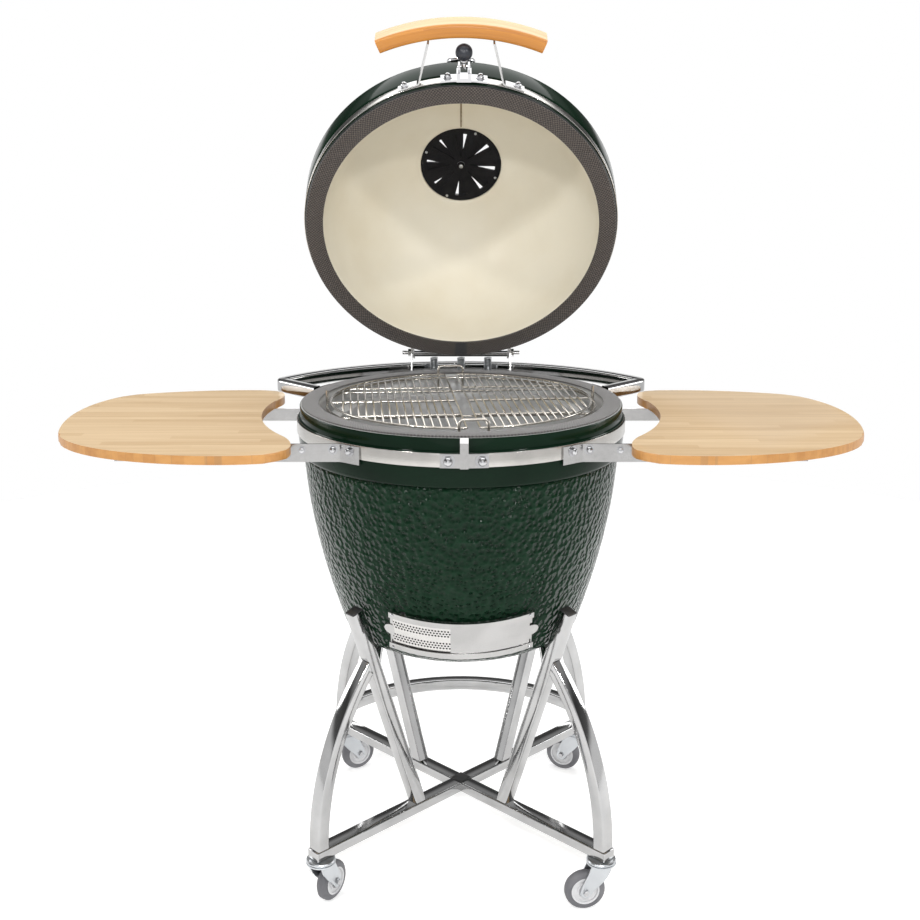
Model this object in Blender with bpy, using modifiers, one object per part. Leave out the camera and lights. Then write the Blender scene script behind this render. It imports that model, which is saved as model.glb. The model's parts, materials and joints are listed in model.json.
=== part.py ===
"""Ceramic kamado charcoal grill on a wheeled stainless stand, with folding bamboo side shelves.

Metres, +Z up.  The origin is on the floor, under the middle of the grill's box.  The egg's own
axis stands at BOWL_AXIS_Y.  Everything below is drawn about that axis, with the lid closed, and
the lid's pieces then hang on an empty at the hinge pin that is turned back by LID_OPEN.
Azimuths are degrees from the front (-Y), positive towards +X.
"""

import math

import bmesh
import bpy
from mathutils import Matrix, Vector

# ------------------------------------------------------------------ clearances and mesh fineness
GAP = 0.0003             # left between pieces that touch
PIVOT_GAP = 0.0005       # round a pin in its hole
RUNNING_GAP = 0.0012     # beside a piece that turns or slides
WELD = 0.00001           # merge distance
EGG_STEPS = 40           # facets round the egg and its rings
ROUND_STEPS = 20         # facets round a small turned piece
ARC_STEP = 3.0           # degrees of one facet of a bar bent round the egg

# ------------------------------------------------------------------ the egg
BOWL_AXIS_Y = -0.047     # places the middle of the grill's box on the origin
RIM_HEIGHT = 0.900       # rim plane of the base above the floor
RIM_RADIUS = 0.295       # outside of the felt gaskets
RIM_WIDTH = 0.032        # width of the felt and of the ceramic rim
FELT_THICKNESS = 0.003
BOWL_DEPTH = 0.474       # rim plane to the underside of the foot
FOOT_RADIUS = 0.103
HIP_RADIUS = 0.224       # where the side turns under
HIP_DEPTH = 0.4195
WALL = 0.030             # ceramic wall of the base below the rim
LIP_OUT = 0.0035         # the base lip beyond the felt
BAND_OUT = 0.0095        # the base band beyond the felt
BAND_THICKNESS = 0.0018
BAND_TOP = 0.028         # depth of the base band's upper edge
BAND_HEIGHT = 0.024
SHOULDER_DEPTH = 0.0885  # smooth shoulder ends and the dimpled side begins
SIDE_INSET = 0.006       # the dimpled side is set in below the shoulder's ledge

# ------------------------------------------------------------------ the lid (heights above its rim plane)
LID_OPEN = 62.73         # degrees the lid stands open
LID_LIP_OUT = 0.002
LID_BAND_OUT = 0.0045
LID_BAND_BOTTOM = 0.012
LID_BAND_HEIGHT = 0.020
LID_SHOULDER = 0.085
DOME_HEIGHT = 0.272
CHIMNEY_RADIUS = 0.083   # hole at the top of the dome
DOME_THICKNESS = 0.0175  # at the chimney

# ------------------------------------------------------------------ vent
VENT_SLOTS = 8
VENT_SLOT_ANGLE = 20.0   # width of one wedge slot, degrees
VENT_HUB = 0.017         # solid middle of the vent plates
VENT_WHEEL_RADIUS = 0.0745
VENT_REST = 14.0         # the wheel's slots lie this many degrees off the plate's
VENT_PLATE = 0.003

# ------------------------------------------------------------------ hinge (offsets from the rim)
PIN_BEHIND = 0.0171      # hinge pin axis behind the felt's outer edge
PIN_ABOVE = 0.0325       # hinge pin axis above the base's rim plane
PIN_RADIUS = 0.004
PIN_HALF = 0.122
HINGE_HALF = 0.1012      # inside of the outer side plates
HINGE_PLATE = 0.003
SPRING_PITCH = 0.0567
SPRING_RADIUS = 0.0082
BAR_BEHIND = 0.0185      # spring bar from the pin, lid closed
BAR_ABOVE = 0.0163
HINGE_REACH = 0.040      # back plate behind the pin
HINGE_DROP = 0.060       # underside of the hinge bracket below the rim

# ------------------------------------------------------------------ lid handle and latch
HANDLE_RADIUS = 0.385
HANDLE_HEIGHT = 0.0413
HANDLE_LENGTH = 0.298
HANDLE_THICK = 0.025
HANDLE_TALL = 0.041
ARM_FOOT_X = 0.112       # outer end of a handle arm's foot
ARM_BEND_X = 0.078
ARM_TOP_X = 0.0572
ARM_THICK = 0.003
ARM_WIDTH = 0.018
LATCH_X = 0.005          # the latch sits a little to the right of the middle
LATCH_HALF = 0.041
LATCH_PLATE = 0.0035
LATCH_BLOCK = (0.026, 0.016, 0.024)
LATCH_PIVOT_OUT = 0.030  # beyond the felt's outer edge
KNOB_RADIUS = 0.015
KNOB_OUT = 0.055         # knob centre beyond the felt's outer edge
STRAP_WIDTH = 0.014
STRAP_THICK = 0.003
THERMOMETER_SHARE = 0.22  # how far up the dome's curve the thermometer sits
DIAL_RADIUS = 0.030
PROBE_RADIUS = 0.0025
PROBE_LENGTH = 0.118

# ------------------------------------------------------------------ inside the base
LINER_GAP = 0.008
LINER_WALL = 0.018
LINER_TOP = 0.165
RING_TOP = 0.036         # depth of the fire ring's top
RING_WIDTH = 0.030
RACK_RADIUS = 0.2484
RACK_WIRE = 0.0025
POST_TOP = 0.020         # side posts stand this far above the rim plane
LOOP_WIDTH = 0.050
LOOP_TOP = 0.016
GRATE_RADIUS = 0.243
GRATE_WIRE = 0.0021
GRATE_GAP = 0.019
GRATE_BARS = 16          # bars of one half
GRATE_TURN = 5.0         # the grates lie turned by this much
COAL_GRATE_DEPTH = 0.335
COAL_GRATE_THICK = 0.010

# ------------------------------------------------------------------ draft door
DOOR_DEPTH = 0.3815      # middle of the door below the rim plane
DOOR_TILT = 20.0         # it leans with the bowl's side
DOOR_CURVE = 0.262       # radius its plates are bent to
DOOR_HALF_ANGLE = 28.5
DOOR_HEIGHT = 0.082
DOOR_STANDOFF = 0.0034
DOOR_SHEET = 0.0013
DOOR_WINDOW_ANGLE = 24.0
DOOR_WINDOW_HEIGHT = 0.052
DOOR_PANEL_HEIGHT = 0.066
DOOR_MEET = 2.0          # the panels meet this many degrees left of the middle
DOOR_TAB_ANGLE = 4.0
DRAFT_HOLE = (0.150, 0.036)

# ------------------------------------------------------------------ side shelves
SHELF_DROP = 0.022       # shelf top below the rim plane
SHELF_THICK = 0.015
SHELF_CUT_GAP = 0.0635   # concave edge beyond the base band
SHELF_REACH = 0.346      # outer end beyond the concave edge
SHELF_FRONT = -0.347
SHELF_REAR = 0.192
SHELF_ARM_Y = (-0.2257, 0.0826)
SHELF_ARM_REACH = 0.2855  # outer end of the arms beyond the band
SHELF_PIVOT_OUT = 0.004  # fold axis beyond the band
SHELF_PIVOT_DROP = 0.0495
ARM_HEIGHT = 0.0235
BRACKET_THICK = 0.003
BRACKET_TOP = 0.0295
BRACKET_HEIGHT = 0.0315
BRACKET_OVERHANG = 0.0095 # bracket past the fold axis
BRACKET_FLANGE = 7.5     # degrees of band that a bracket's flange covers

# ------------------------------------------------------------------ push bar
PUSH_TUBE = 0.025
PUSH_CORNER = (0.363, 0.2006)
PUSH_REAR = 0.392        # middle of the bar behind the egg's axis
PUSH_LEG_AZIMUTH = 113.0
PUSH_BEND = 0.0145

# ------------------------------------------------------------------ stand
CROSS_TOP = 0.120
CROSS_HEIGHT = 0.020
CROSS_WIDTH = 0.030
CROSS_REACH = 0.380
UPRIGHT_TUBE = 0.025
UPRIGHT_FOOT = 0.121     # where an upright stands on its arm
UPRIGHT_TOP = 0.552
SEAT_GAP = 0.0008        # between an upright and the bowl it cradles
LEG_TUBE = 0.025
LEG_WIDTH = 0.028
LEG_CURVE = 0.5015       # radius of a leg's outer edge
LEG_CENTRE = -0.124      # that arc's centre, from the axis
LEG_CENTRE_Z = 0.115
LEG_MEETS_Z = 0.4575
RAIL_TUBE = 0.020
REAR_RAIL_TUBE = 0.025
REAR_RAIL_Z = 0.139
REAR_RAIL_BACK = 0.413
REAR_RAIL_RADIUS = 0.3234

# ------------------------------------------------------------------ casters
CASTER_REACH = 0.362
WHEEL_RADIUS = 0.0375
WHEEL_WIDTH = 0.022
AXLE_RADIUS = 0.004
CASTER_TRAIL = 0.030
RACE_RADIUS = 0.027
RACE_THICK = 0.012
FORK_PLATE = 0.003
CORNERS = {"front_left": (-45.0, 60.0), "front_right": (45.0, 188.0),
           "rear_left": (-135.0, 32.0), "rear_right": (135.0, 156.0)}  # azimuth, trail heading

FINISHES = {  # colour, roughness, metallic
    "glaze": ((0.020, 0.075, 0.040), 0.15, 0.0),
    "ceramic": ((0.70, 0.66, 0.56), 0.6, 0.0),
    "felt": ((0.11, 0.095, 0.085), 0.95, 0.0),
    "steel": ((0.62, 0.61, 0.59), 0.22, 1.0),
    "iron": ((0.02, 0.02, 0.022), 0.5, 0.6),
    "bamboo": ((0.74, 0.50, 0.27), 0.45, 0.0),
    "chrome": ((0.75, 0.75, 0.76), 0.1, 1.0),
    "zinc": ((0.66, 0.68, 0.70), 0.35, 1.0),
    "tyre": ((0.16, 0.16, 0.17), 0.7, 0.0),
}

# ------------------------------------------------------------------ values worked out from them
RIM_INNER = RIM_RADIUS - RIM_WIDTH
BAND_RADIUS = RIM_RADIUS + BAND_OUT
LID_BAND_RADIUS = RIM_RADIUS + LID_BAND_OUT
PIN_Y = RIM_RADIUS + PIN_BEHIND
PIN_Z = RIM_HEIGHT + PIN_ABOVE
SPRING_BAR = Vector((0.0, PIN_Y + BAR_BEHIND, PIN_Z + BAR_ABOVE))
HINGE_BACK = PIN_Y + HINGE_REACH
SHELF_CUT = BAND_RADIUS + SHELF_CUT_GAP
SHELF_PIVOT = Vector((BAND_RADIUS + SHELF_PIVOT_OUT, 0.0, RIM_HEIGHT - SHELF_PIVOT_DROP))
SHELF_UNDER = RIM_HEIGHT - SHELF_DROP - SHELF_THICK
VENT_PLATE_TOP = DOME_HEIGHT - 0.0115


# ------------------------------------------------------------------ scene and objects
def clear_scene():
    """Remove whatever the file holds."""
    for old in list(bpy.data.objects):
        bpy.data.objects.remove(old, do_unlink=True)


def new_collection(name):
    """Make a collection in the scene."""
    made = bpy.data.collections.new(name)
    bpy.context.scene.collection.children.link(made)
    return made


def finish_material(name, finish):
    """A Principled material of its own for one node."""
    colour, roughness, metallic = FINISHES[finish]
    made = bpy.data.materials.new(name)
    made.use_nodes = True
    shader = made.node_tree.nodes["Principled BSDF"]
    shader.inputs["Base Color"].default_value = (*colour, 1.0)
    shader.inputs["Roughness"].default_value = roughness
    shader.inputs["Metallic"].default_value = metallic
    made.diffuse_color = (*colour, 1.0)
    return made


def add_object(name, data):
    """Link a new object to the grill's collection."""
    made = bpy.data.objects.new(name, data)
    GRILL.objects.link(made)
    return made


def remove(thing):
    """Delete an object that has done its work."""
    bpy.data.objects.remove(thing, do_unlink=True)


def mesh_object(name, shape):
    """Turn a bmesh into an object, with its faces pointing out."""
    bmesh.ops.recalc_face_normals(shape, faces=shape.faces)
    mesh = bpy.data.meshes.new(name)
    shape.to_mesh(mesh)
    shape.free()
    return add_object(name, mesh)


def freeze(thing):
    """Replace a curve, or a mesh with modifiers, by the plain mesh that it evaluates to."""
    bpy.context.view_layer.update()
    graph = bpy.context.evaluated_depsgraph_get()
    mesh = bpy.data.meshes.new_from_object(thing.evaluated_get(graph))
    mesh.transform(thing.matrix_world)
    shape = bmesh.new()
    shape.from_mesh(mesh)
    bmesh.ops.remove_doubles(shape, verts=shape.verts, dist=WELD)
    name = thing.name
    remove(thing)
    bpy.data.meshes.remove(mesh)
    return mesh_object(name, shape)


def combine(target, tools, operation):
    """Union or cut a piece with other pieces, which are used up."""
    for tool in tools:
        boolean = target.modifiers.new(operation.lower(), "BOOLEAN")
        boolean.operation = operation
        boolean.object = tool
    result = freeze(target)
    for tool in tools:
        remove(tool)
    return result


def join(target, *tools):
    """Boolean union."""
    return combine(target, tools, "UNION")


def cut(target, *tools):
    """Boolean difference."""
    return combine(target, tools, "DIFFERENCE")


def node(piece, name, finish, parent, pivot=None):
    """Name a finished piece, dress it and hang it on its empty, with its origin at pivot."""
    pivot = Vector(pivot) if pivot else Vector(parent["rest"])
    piece.name = name
    piece.data.name = name
    piece.data.materials.clear()
    piece.data.materials.append(finish_material(name, finish))
    piece.data.transform(Matrix.Translation(-pivot))
    piece.data.shade_smooth()
    piece.data.set_sharp_from_angle(angle=math.radians(35))
    piece.parent = parent
    piece.location = pivot - Vector(parent["rest"])
    return piece


def empty(name, place, parent=None):
    """An empty that carries pieces.  Its place is where it stands with the lid closed."""
    made = add_object(name, None)
    made["rest"] = tuple(place)
    made.parent = parent
    made.location = Vector(place) - (Vector(parent["rest"]) if parent else Vector((0, 0, 0)))
    return made


# ------------------------------------------------------------------ shapes
def at(radius, azimuth, height):
    """The point at a radius and azimuth round the egg's axis."""
    angle = math.radians(azimuth)
    return Vector((radius * math.sin(angle), -radius * math.cos(angle), height))


def bezier(start, out_handle, in_handle, end, count):
    """Points along a cubic curve, both ends included."""
    points = []
    for index in range(count + 1):
        t = index / count
        weights = ((1 - t) ** 3, 3 * (1 - t) ** 2 * t, 3 * (1 - t) * t * t, t ** 3)
        corners = (start, out_handle, in_handle, end)
        points.append(tuple(sum(w * c[axis] for w, c in zip(weights, corners)) for axis in (0, 1)))
    return points


def inset(points, distance):
    """Move a profile that runs down the outside inwards, square to itself, leaving out what folds back."""
    moved = []
    for index, point in enumerate(points):
        before = points[max(index - 1, 0)]
        after = points[min(index + 1, len(points) - 1)]
        run = Vector((after[0] - before[0], after[1] - before[1])).normalized()
        place = (point[0] - run.y * distance, point[1] + run.x * distance)
        if not moved or (place[0] < moved[-1][0] + WELD and place[1] > moved[-1][1] + WELD):
            moved.append(place)
    return moved


def box(name, size, centre, turn=0.0):
    """A box, turned about Z by an angle in degrees."""
    shape = bmesh.new()
    bmesh.ops.create_cube(shape, size=1.0)
    place = (Matrix.Translation(centre) @ Matrix.Rotation(math.radians(turn), 4, "Z")
             @ Matrix.Diagonal((*size, 1.0)))
    bmesh.ops.transform(shape, matrix=place, verts=shape.verts)
    return mesh_object(name, shape)


def rod(name, radius, start, end, steps=12, end_radius=None):
    """A round bar, or a cone, between two points."""
    start, end = Vector(start), Vector(end)
    along = end - start
    shape = bmesh.new()
    bmesh.ops.create_cone(shape, cap_ends=True, segments=steps, radius1=radius,
                          radius2=radius if end_radius is None else end_radius, depth=along.length)
    place = Matrix.Translation((start + end) / 2) @ along.to_track_quat("Z", "Y").to_matrix().to_4x4()
    bmesh.ops.transform(shape, matrix=place, verts=shape.verts)
    return mesh_object(name, shape)


def ball(name, radius, centre, rings=8):
    """A sphere."""
    shape = bmesh.new()
    bmesh.ops.create_uvsphere(shape, u_segments=2 * rings, v_segments=rings, radius=radius,
                              matrix=Matrix.Translation(centre))
    return mesh_object(name, shape)


def turned(name, profile, steps, closed=True):
    """A solid turned about Z from a profile of (radius, height), top to bottom down its outside."""
    shape = bmesh.new()
    corners = [shape.verts.new((radius, 0.0, height)) for radius, height in profile]
    for first, second in zip(corners, corners[1:]):
        shape.edges.new((first, second))
    if closed:
        shape.edges.new((corners[-1], corners[0]))
    mesh = bpy.data.meshes.new(name)
    shape.to_mesh(mesh)
    shape.free()
    piece = add_object(name, mesh)
    screw = piece.modifiers.new("turn", "SCREW")
    screw.steps = steps
    screw.render_steps = steps
    screw.use_merge_vertices = True
    screw.merge_threshold = WELD
    return freeze(piece)


def loft(name, rings):
    """A solid through rings of points, closed at both ends."""
    shape = bmesh.new()
    corners = [[shape.verts.new(point) for point in ring] for ring in rings]
    for one, two in zip(corners, corners[1:]):
        for index in range(len(one)):
            after = (index + 1) % len(one)
            shape.faces.new((one[index], one[after], two[after], two[index]))
    shape.faces.new(corners[0])
    shape.faces.new(corners[-1])
    return mesh_object(name, shape)


def bent_section(name, section, start, end):
    """A bar with a section of (radius, height) bent round the Z axis between two azimuths."""
    steps = max(2, round(abs(end - start) / ARC_STEP))
    azimuths = [start + (end - start) * index / steps for index in range(steps + 1)]
    return loft(name, [[at(radius, azimuth, height) for radius, height in section] for azimuth in azimuths])


def bent_bar(name, inner, outer, low, high, start, end):
    """A bar of rectangular section bent round the Z axis between two azimuths."""
    return bent_section(name, [(inner, low), (outer, low), (outer, high), (inner, high)], start, end)


def poly_curve(name, points, closed, flat):
    """A curve of straight pieces through points."""
    curve = bpy.data.curves.new(name, "CURVE")
    curve.dimensions = "2D" if flat else "3D"
    spline = curve.splines.new("POLY")
    spline.points.add(len(points) - 1)
    for knot, point in zip(spline.points, points):
        knot.co = (*point, *([0.0] * (3 - len(point))), 1.0)
    spline.use_cyclic_u = closed
    return curve


def plate(name, outline, thickness, place):
    """A flat plate from an outline in its own XY plane, centred on it and then placed."""
    curve = poly_curve(name, outline, True, True)
    curve.fill_mode = "BOTH"
    curve.extrude = thickness / 2
    piece = add_object(name, curve)
    piece.matrix_world = place
    return freeze(piece)


def wire(name, points, radius, closed=False, resolution=1):
    """A round wire through points."""
    curve = poly_curve(name, points, closed, False)
    curve.bevel_depth = radius
    curve.bevel_resolution = resolution
    curve.use_fill_caps = True
    return freeze(add_object(name, curve))


def bar_along(name, path, width, height, place=Matrix(), rounding=0.0):
    """A rectangular bar swept along a path in its own XY plane, then placed."""
    half, tall = width / 2, height / 2
    if rounding:
        corners = [(sx * half - sx * rounding * ax, sy * tall - sy * rounding * ay)
                   for sx, sy, order in ((1, 1, 1), (-1, 1, -1), (-1, -1, 1), (1, -1, -1))
                   for ax, ay in ((0, 1), (1, 0))[::order]]
    else:
        corners = [(half, tall), (-half, tall), (-half, -tall), (half, -tall)]
    section = add_object(name + "_section", poly_curve(name + "_section", corners, True, True))
    section.data.fill_mode = "NONE"
    curve = poly_curve(name, path, False, False)
    curve.bevel_mode = "OBJECT"
    curve.bevel_object = section
    curve.twist_mode = "Z_UP"
    curve.use_fill_caps = True
    piece = add_object(name, curve)
    piece.matrix_world = place
    made = freeze(piece)
    remove(section)
    return made


def frame_of(origin, x_axis, y_axis):
    """A placing matrix from an origin and two square axes."""
    x_axis, y_axis = Vector(x_axis), Vector(y_axis)
    turn = Matrix((x_axis, y_axis, x_axis.cross(y_axis))).transposed().to_4x4()
    return Matrix.Translation(origin) @ turn


def arc_points(centre, radius, start, end, count):
    """Points of an arc in a plane, angles in degrees from +X."""
    angles = [math.radians(start + (end - start) * index / count) for index in range(count + 1)]
    return [(centre[0] + radius * math.cos(a), centre[1] + radius * math.sin(a)) for a in angles]


# ------------------------------------------------------------------ the egg's profiles
def base_side():
    """The dimpled side of the bowl as (radius, depth), from the shoulder to the foot."""
    top = RIM_RADIUS + LIP_OUT - SIDE_INSET
    fall = HIP_DEPTH - SHOULDER_DEPTH
    side = bezier((top, SHOULDER_DEPTH + 0.002), (top - 0.0045, SHOULDER_DEPTH + 0.32 * fall),
                  (HIP_RADIUS + 0.041, SHOULDER_DEPTH + 0.64 * fall), (HIP_RADIUS, HIP_DEPTH), 6)
    under = BOWL_DEPTH - HIP_DEPTH
    reach = HIP_RADIUS - FOOT_RADIUS
    turn = bezier((HIP_RADIUS, HIP_DEPTH), (HIP_RADIUS - 0.07 * reach, HIP_DEPTH + 0.3 * under),
                  (FOOT_RADIUS + 0.5 * reach, HIP_DEPTH + 0.78 * under), (FOOT_RADIUS, BOWL_DEPTH), 4)
    return side + turn[1:]


def radius_at(profile, depth):
    """The radius of a profile of (radius, depth) at one depth."""
    for (r0, d0), (r1, d1) in zip(profile, profile[1:]):
        if d0 <= depth <= d1:
            return r0 + (r1 - r0) * (depth - d0) / (d1 - d0)
    return profile[-1][0]


def dome_curve():
    """The dome's outside as (radius, height), from its shoulder to the chimney."""
    top = RIM_RADIUS - 0.001
    chimney = CHIMNEY_RADIUS + 0.007
    rise = DOME_HEIGHT - LID_SHOULDER
    return bezier((top, LID_SHOULDER + 0.003), (top - 0.014, LID_SHOULDER + 0.5 * rise),
                  (chimney + 0.095, DOME_HEIGHT - 0.010), (chimney, DOME_HEIGHT), 8)


def heights(profile):
    """Turn (radius, depth below the base's rim) into (radius, height)."""
    return [(radius, RIM_HEIGHT - depth) for radius, depth in profile]


# ------------------------------------------------------------------ base pieces
def build_base(root):
    """Bowl, felt, band, fire box, fire ring and charcoal grate."""
    lip = RIM_RADIUS + LIP_OUT
    seat = BAND_RADIUS - BAND_THICKNESS - GAP
    rim = FELT_THICKNESS + 2 * GAP
    band_low = BAND_TOP + BAND_HEIGHT
    side = base_side()
    inner = [(r, d) for r, d in inset(side, WALL) if d < BOWL_DEPTH - WALL]
    outside = [(RIM_INNER, rim), (lip, rim), (lip, BAND_TOP - 0.003), (seat, BAND_TOP - 0.0015),
               (seat, band_low + 0.0015), (seat - 0.0005, band_low + 0.004), (lip, SHOULDER_DEPTH)]
    floor = BOWL_DEPTH - WALL
    flat = inner[-1][0] - 0.012
    profile = [(0.0, floor), (flat, floor)] + inner[::-1] + outside + side + [(0.0, BOWL_DEPTH)]
    bowl = turned("base_bowl", heights(profile), EGG_STEPS, closed=False)
    hole = box("draft_hole", (DRAFT_HOLE[0], RIM_RADIUS, DRAFT_HOLE[1]),
               (0, -RIM_RADIUS * 0.9, RIM_HEIGHT - DOOR_DEPTH))
    node(cut(bowl, hole), "base_bowl", "glaze", root)

    felt = [(RIM_INNER, GAP), (RIM_RADIUS, GAP), (RIM_RADIUS, FELT_THICKNESS + GAP),
            (RIM_INNER, FELT_THICKNESS + GAP)]
    node(turned("base_gasket", heights(felt), EGG_STEPS), "base_gasket", "felt", root)
    band = [(BAND_RADIUS - BAND_THICKNESS, BAND_TOP), (BAND_RADIUS, BAND_TOP), (BAND_RADIUS, band_low),
            (BAND_RADIUS - BAND_THICKNESS, band_low)]
    node(turned("base_band", heights(band), EGG_STEPS), "base_band", "steel", root)

    liner_out = [(r, d) for r, d in inset(side, WALL + LINER_GAP) if d > LINER_TOP]
    liner_in = [(r, d) for r, d in inset(side, WALL + LINER_GAP + LINER_WALL) if d > LINER_TOP]
    floor -= GAP
    liner_out = [p for p in liner_out if p[1] < floor]
    liner_in = [p for p in liner_in if p[1] < floor - LINER_WALL]
    foot = min(liner_out[-1][0], flat) - LINER_WALL * 0.5
    profile = ([(0.0, floor - LINER_WALL)] + liner_in[::-1] + [(liner_in[0][0], LINER_TOP)]
               + [(liner_out[0][0], LINER_TOP)] + liner_out + [(foot, floor), (0.0, floor)])
    liner = turned("fire_box", heights(profile), EGG_STEPS, closed=False)
    mouth = box("fire_box_mouth", (DRAFT_HOLE[0] * 0.8, RIM_RADIUS, DRAFT_HOLE[1]),
                (0, -RIM_RADIUS * 0.8, RIM_HEIGHT - DOOR_DEPTH))
    node(cut(liner, mouth), "fire_box", "ceramic", root)

    ring_out = RIM_INNER - LINER_GAP
    low_out = radius_at(inset(side, WALL + LINER_GAP), LINER_TOP)
    ring = [(ring_out - RING_WIDTH, RING_TOP), (ring_out, RING_TOP), (ring_out, RING_TOP + 0.030),
            (low_out, LINER_TOP - GAP), (low_out - RING_WIDTH, LINER_TOP - GAP)]
    node(turned("fire_ring", heights(ring), EGG_STEPS), "fire_ring", "ceramic", root)

    build_coal_grate(root, radius_at(inset(side, WALL + LINER_GAP + LINER_WALL), COAL_GRATE_DEPTH + 0.012))


def build_coal_grate(root, room):
    """The slotted iron grate that holds the charcoal, resting on the fire box's taper."""
    radius = room - PIVOT_GAP
    top = RIM_HEIGHT - COAL_GRATE_DEPTH
    disc = turned("charcoal_grate", [(0.0, top), (radius, top), (radius, top - COAL_GRATE_THICK),
                                     (0.0, top - COAL_GRATE_THICK)], ROUND_STEPS, closed=False)
    slots = []
    pitch = radius / 5.5
    for row in range(-4, 5):
        reach = math.sqrt(radius ** 2 - (abs(row) * pitch + pitch / 4) ** 2) - pitch * 0.6
        slots.append(box(f"slot_{row}", (pitch / 2, 2 * reach, 3 * COAL_GRATE_THICK),
                         (row * pitch, 0, top - COAL_GRATE_THICK / 2)))
    node(cut(disc, *slots), "charcoal_grate", "iron", root)


# ------------------------------------------------------------------ cooking grates
def build_grates(root):
    """A lift-out wire rack with two half-moon grates lying on it."""
    rack_up = empty("rack_lift", (0, 0, RIM_HEIGHT), root)
    turn = Matrix.Translation((0, 0, RIM_HEIGHT)) @ Matrix.Rotation(math.radians(GRATE_TURN), 4, "Z")
    rack = build_rack()
    rack.data.transform(turn)
    node(rack, "grate_rack", "steel", rack_up)
    for side, name in ((-1, "grate_half_left"), (1, "grate_half_right")):
        lift = empty(name + "_lift", (0, 0, RIM_HEIGHT), rack_up)
        grate = half_grate(side)
        grate.data.transform(turn)
        node(grate, name, "steel", lift)


def build_rack():
    """A ring with two cross bars, a post with a foot at each side, and a handle loop front and rear."""
    high = -2.7 * GRATE_WIRE - GAP
    low = high - 2 * RACK_WIRE
    foot_z = RACK_WIRE + GAP - RING_TOP
    out, into = RACK_RADIUS + RACK_WIRE, RACK_RADIUS - RACK_WIRE
    pieces = [turned("grate_rack", [(into, high), (out, high), (out, low), (into, low)], EGG_STEPS)]
    for side in (-1, 1):
        x = side * (RACK_RADIUS - RACK_WIRE / 4)
        pieces.append(wire("post", [(x, 0, POST_TOP), (x, 0, foot_z), (x - side * 0.020, 0, foot_z)], RACK_WIRE))
        half, y = LOOP_WIDTH / 2, x
        loop = [(-half, y, foot_z), (-half, y, LOOP_TOP - half * 0.35), (-half * 0.65, y, LOOP_TOP),
                (half * 0.65, y, LOOP_TOP), (half, y, LOOP_TOP - half * 0.35), (half, y, foot_z)]
        pieces.append(wire("loop", loop, RACK_WIRE))
        row = side * RACK_RADIUS * 0.45
        reach = math.sqrt(RACK_RADIUS ** 2 - row ** 2)
        pieces.append(box("cross", (2 * reach, 1.6 * RACK_WIRE, RACK_WIRE), (0, row, low + RACK_WIRE)))
    return join(*pieces)


def half_grate(side):
    """One half-moon grate: parallel bars inside a rim, on three cross bars."""
    near = GRATE_GAP / 2
    start = math.degrees(math.acos(near / GRATE_RADIUS))
    outline = [(side * x, y) for x, y in arc_points((0, 0), GRATE_RADIUS, -start, start, 16)]
    grate = plate("half_grate", outline, 2 * GRATE_WIRE, Matrix())
    pitch = (GRATE_RADIUS - near - 2 * GRATE_WIRE) / (GRATE_BARS + 0.6)
    slots = []
    for index in range(GRATE_BARS):
        low = near + index * pitch + 2 * GRATE_WIRE
        high = near + (index + 1) * pitch
        reach = math.sqrt((GRATE_RADIUS - 3 * GRATE_WIRE) ** 2 - high ** 2)
        slots.append(box(f"slot_{index}", (high - low, 2 * reach, 0.02), (side * (low + high) / 2, 0, 0)))
    crosses = []
    for row in (-1, 0, 1):
        y = row * GRATE_RADIUS * 0.5
        reach = math.sqrt((GRATE_RADIUS - 2 * GRATE_WIRE) ** 2 - y * y)
        crosses.append(box(f"cross_{row}", (reach - near - GRATE_WIRE, 2 * GRATE_WIRE, 2 * GRATE_WIRE),
                           (side * (near + GRATE_WIRE / 2 + reach) / 2, y, -1.7 * GRATE_WIRE)))
    return join(cut(grate, *slots), *crosses)


# ------------------------------------------------------------------ draft door
def door_frame():
    """The tilted axis that the draft door's plates are bent about and slide round."""
    radius = radius_at(base_side(), DOOR_DEPTH) + DOOR_STANDOFF
    tilt = math.radians(DOOR_TILT)
    middle = Vector((0, -radius, RIM_HEIGHT - DOOR_DEPTH))
    inward = Vector((0, math.cos(tilt), math.sin(tilt)))
    centre = middle + inward * DOOR_CURVE
    return Matrix.Translation(centre) @ Matrix.Rotation(tilt, 4, "X")


def build_draft_door(root):
    """Frame with a window, and the perforated screen and solid door that slide in it."""
    place = door_frame()
    axis_point = place.translation
    half, window = DOOR_HEIGHT / 2, DOOR_WINDOW_HEIGHT / 2
    panel = DOOR_PANEL_HEIGHT / 2
    sheet, back = DOOR_SHEET, DOOR_CURVE
    front = back + 3 * sheet + 4 * GAP
    room = panel + RUNNING_GAP
    channel = [(back, -half), (front + sheet, -half), (front + sheet, 0.005 - room), (front, 0.005 - room),
               (front, -room), (back + sheet, -room), (back + sheet, room), (front, room),
               (front, room - 0.005), (front + sheet, room - 0.005), (front + sheet, half), (back, half)]
    frame = bent_section("draft_frame", channel, -DOOR_HALF_ANGLE, DOOR_HALF_ANGLE)
    hole = bent_bar("window", back - 0.01, back + 0.01, -window, window,
                    -DOOR_WINDOW_ANGLE, DOOR_WINDOW_ANGLE)
    frame = cut(frame, hole)
    frame.data.transform(place)
    node(frame, "draft_frame", "steel", root)

    for name, layer, side in (("draft_screen", 0, -1), ("draft_door", 1, 1)):
        carrier = empty(name + "_slide", axis_point, root)
        inner = back + sheet + GAP + layer * (sheet + GAP)
        inmost, outmost = -side * DOOR_MEET - 2.0 * layer, side * (DOOR_HALF_ANGLE - 1.5)
        slab = sliding_panel(name, inner, inmost, outmost, panel)
        if name == "draft_screen":
            bands = [bent_bar("band", inner - 0.004, inner + 0.006, *sorted((part * 0.009, part * 0.022)),
                              outmost + 3, inmost - 6) for part in (-1, 1)]
            slab = cut(slab, *bands)
        slab.data.transform(place)
        node(slab, name, "steel", carrier)


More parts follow.
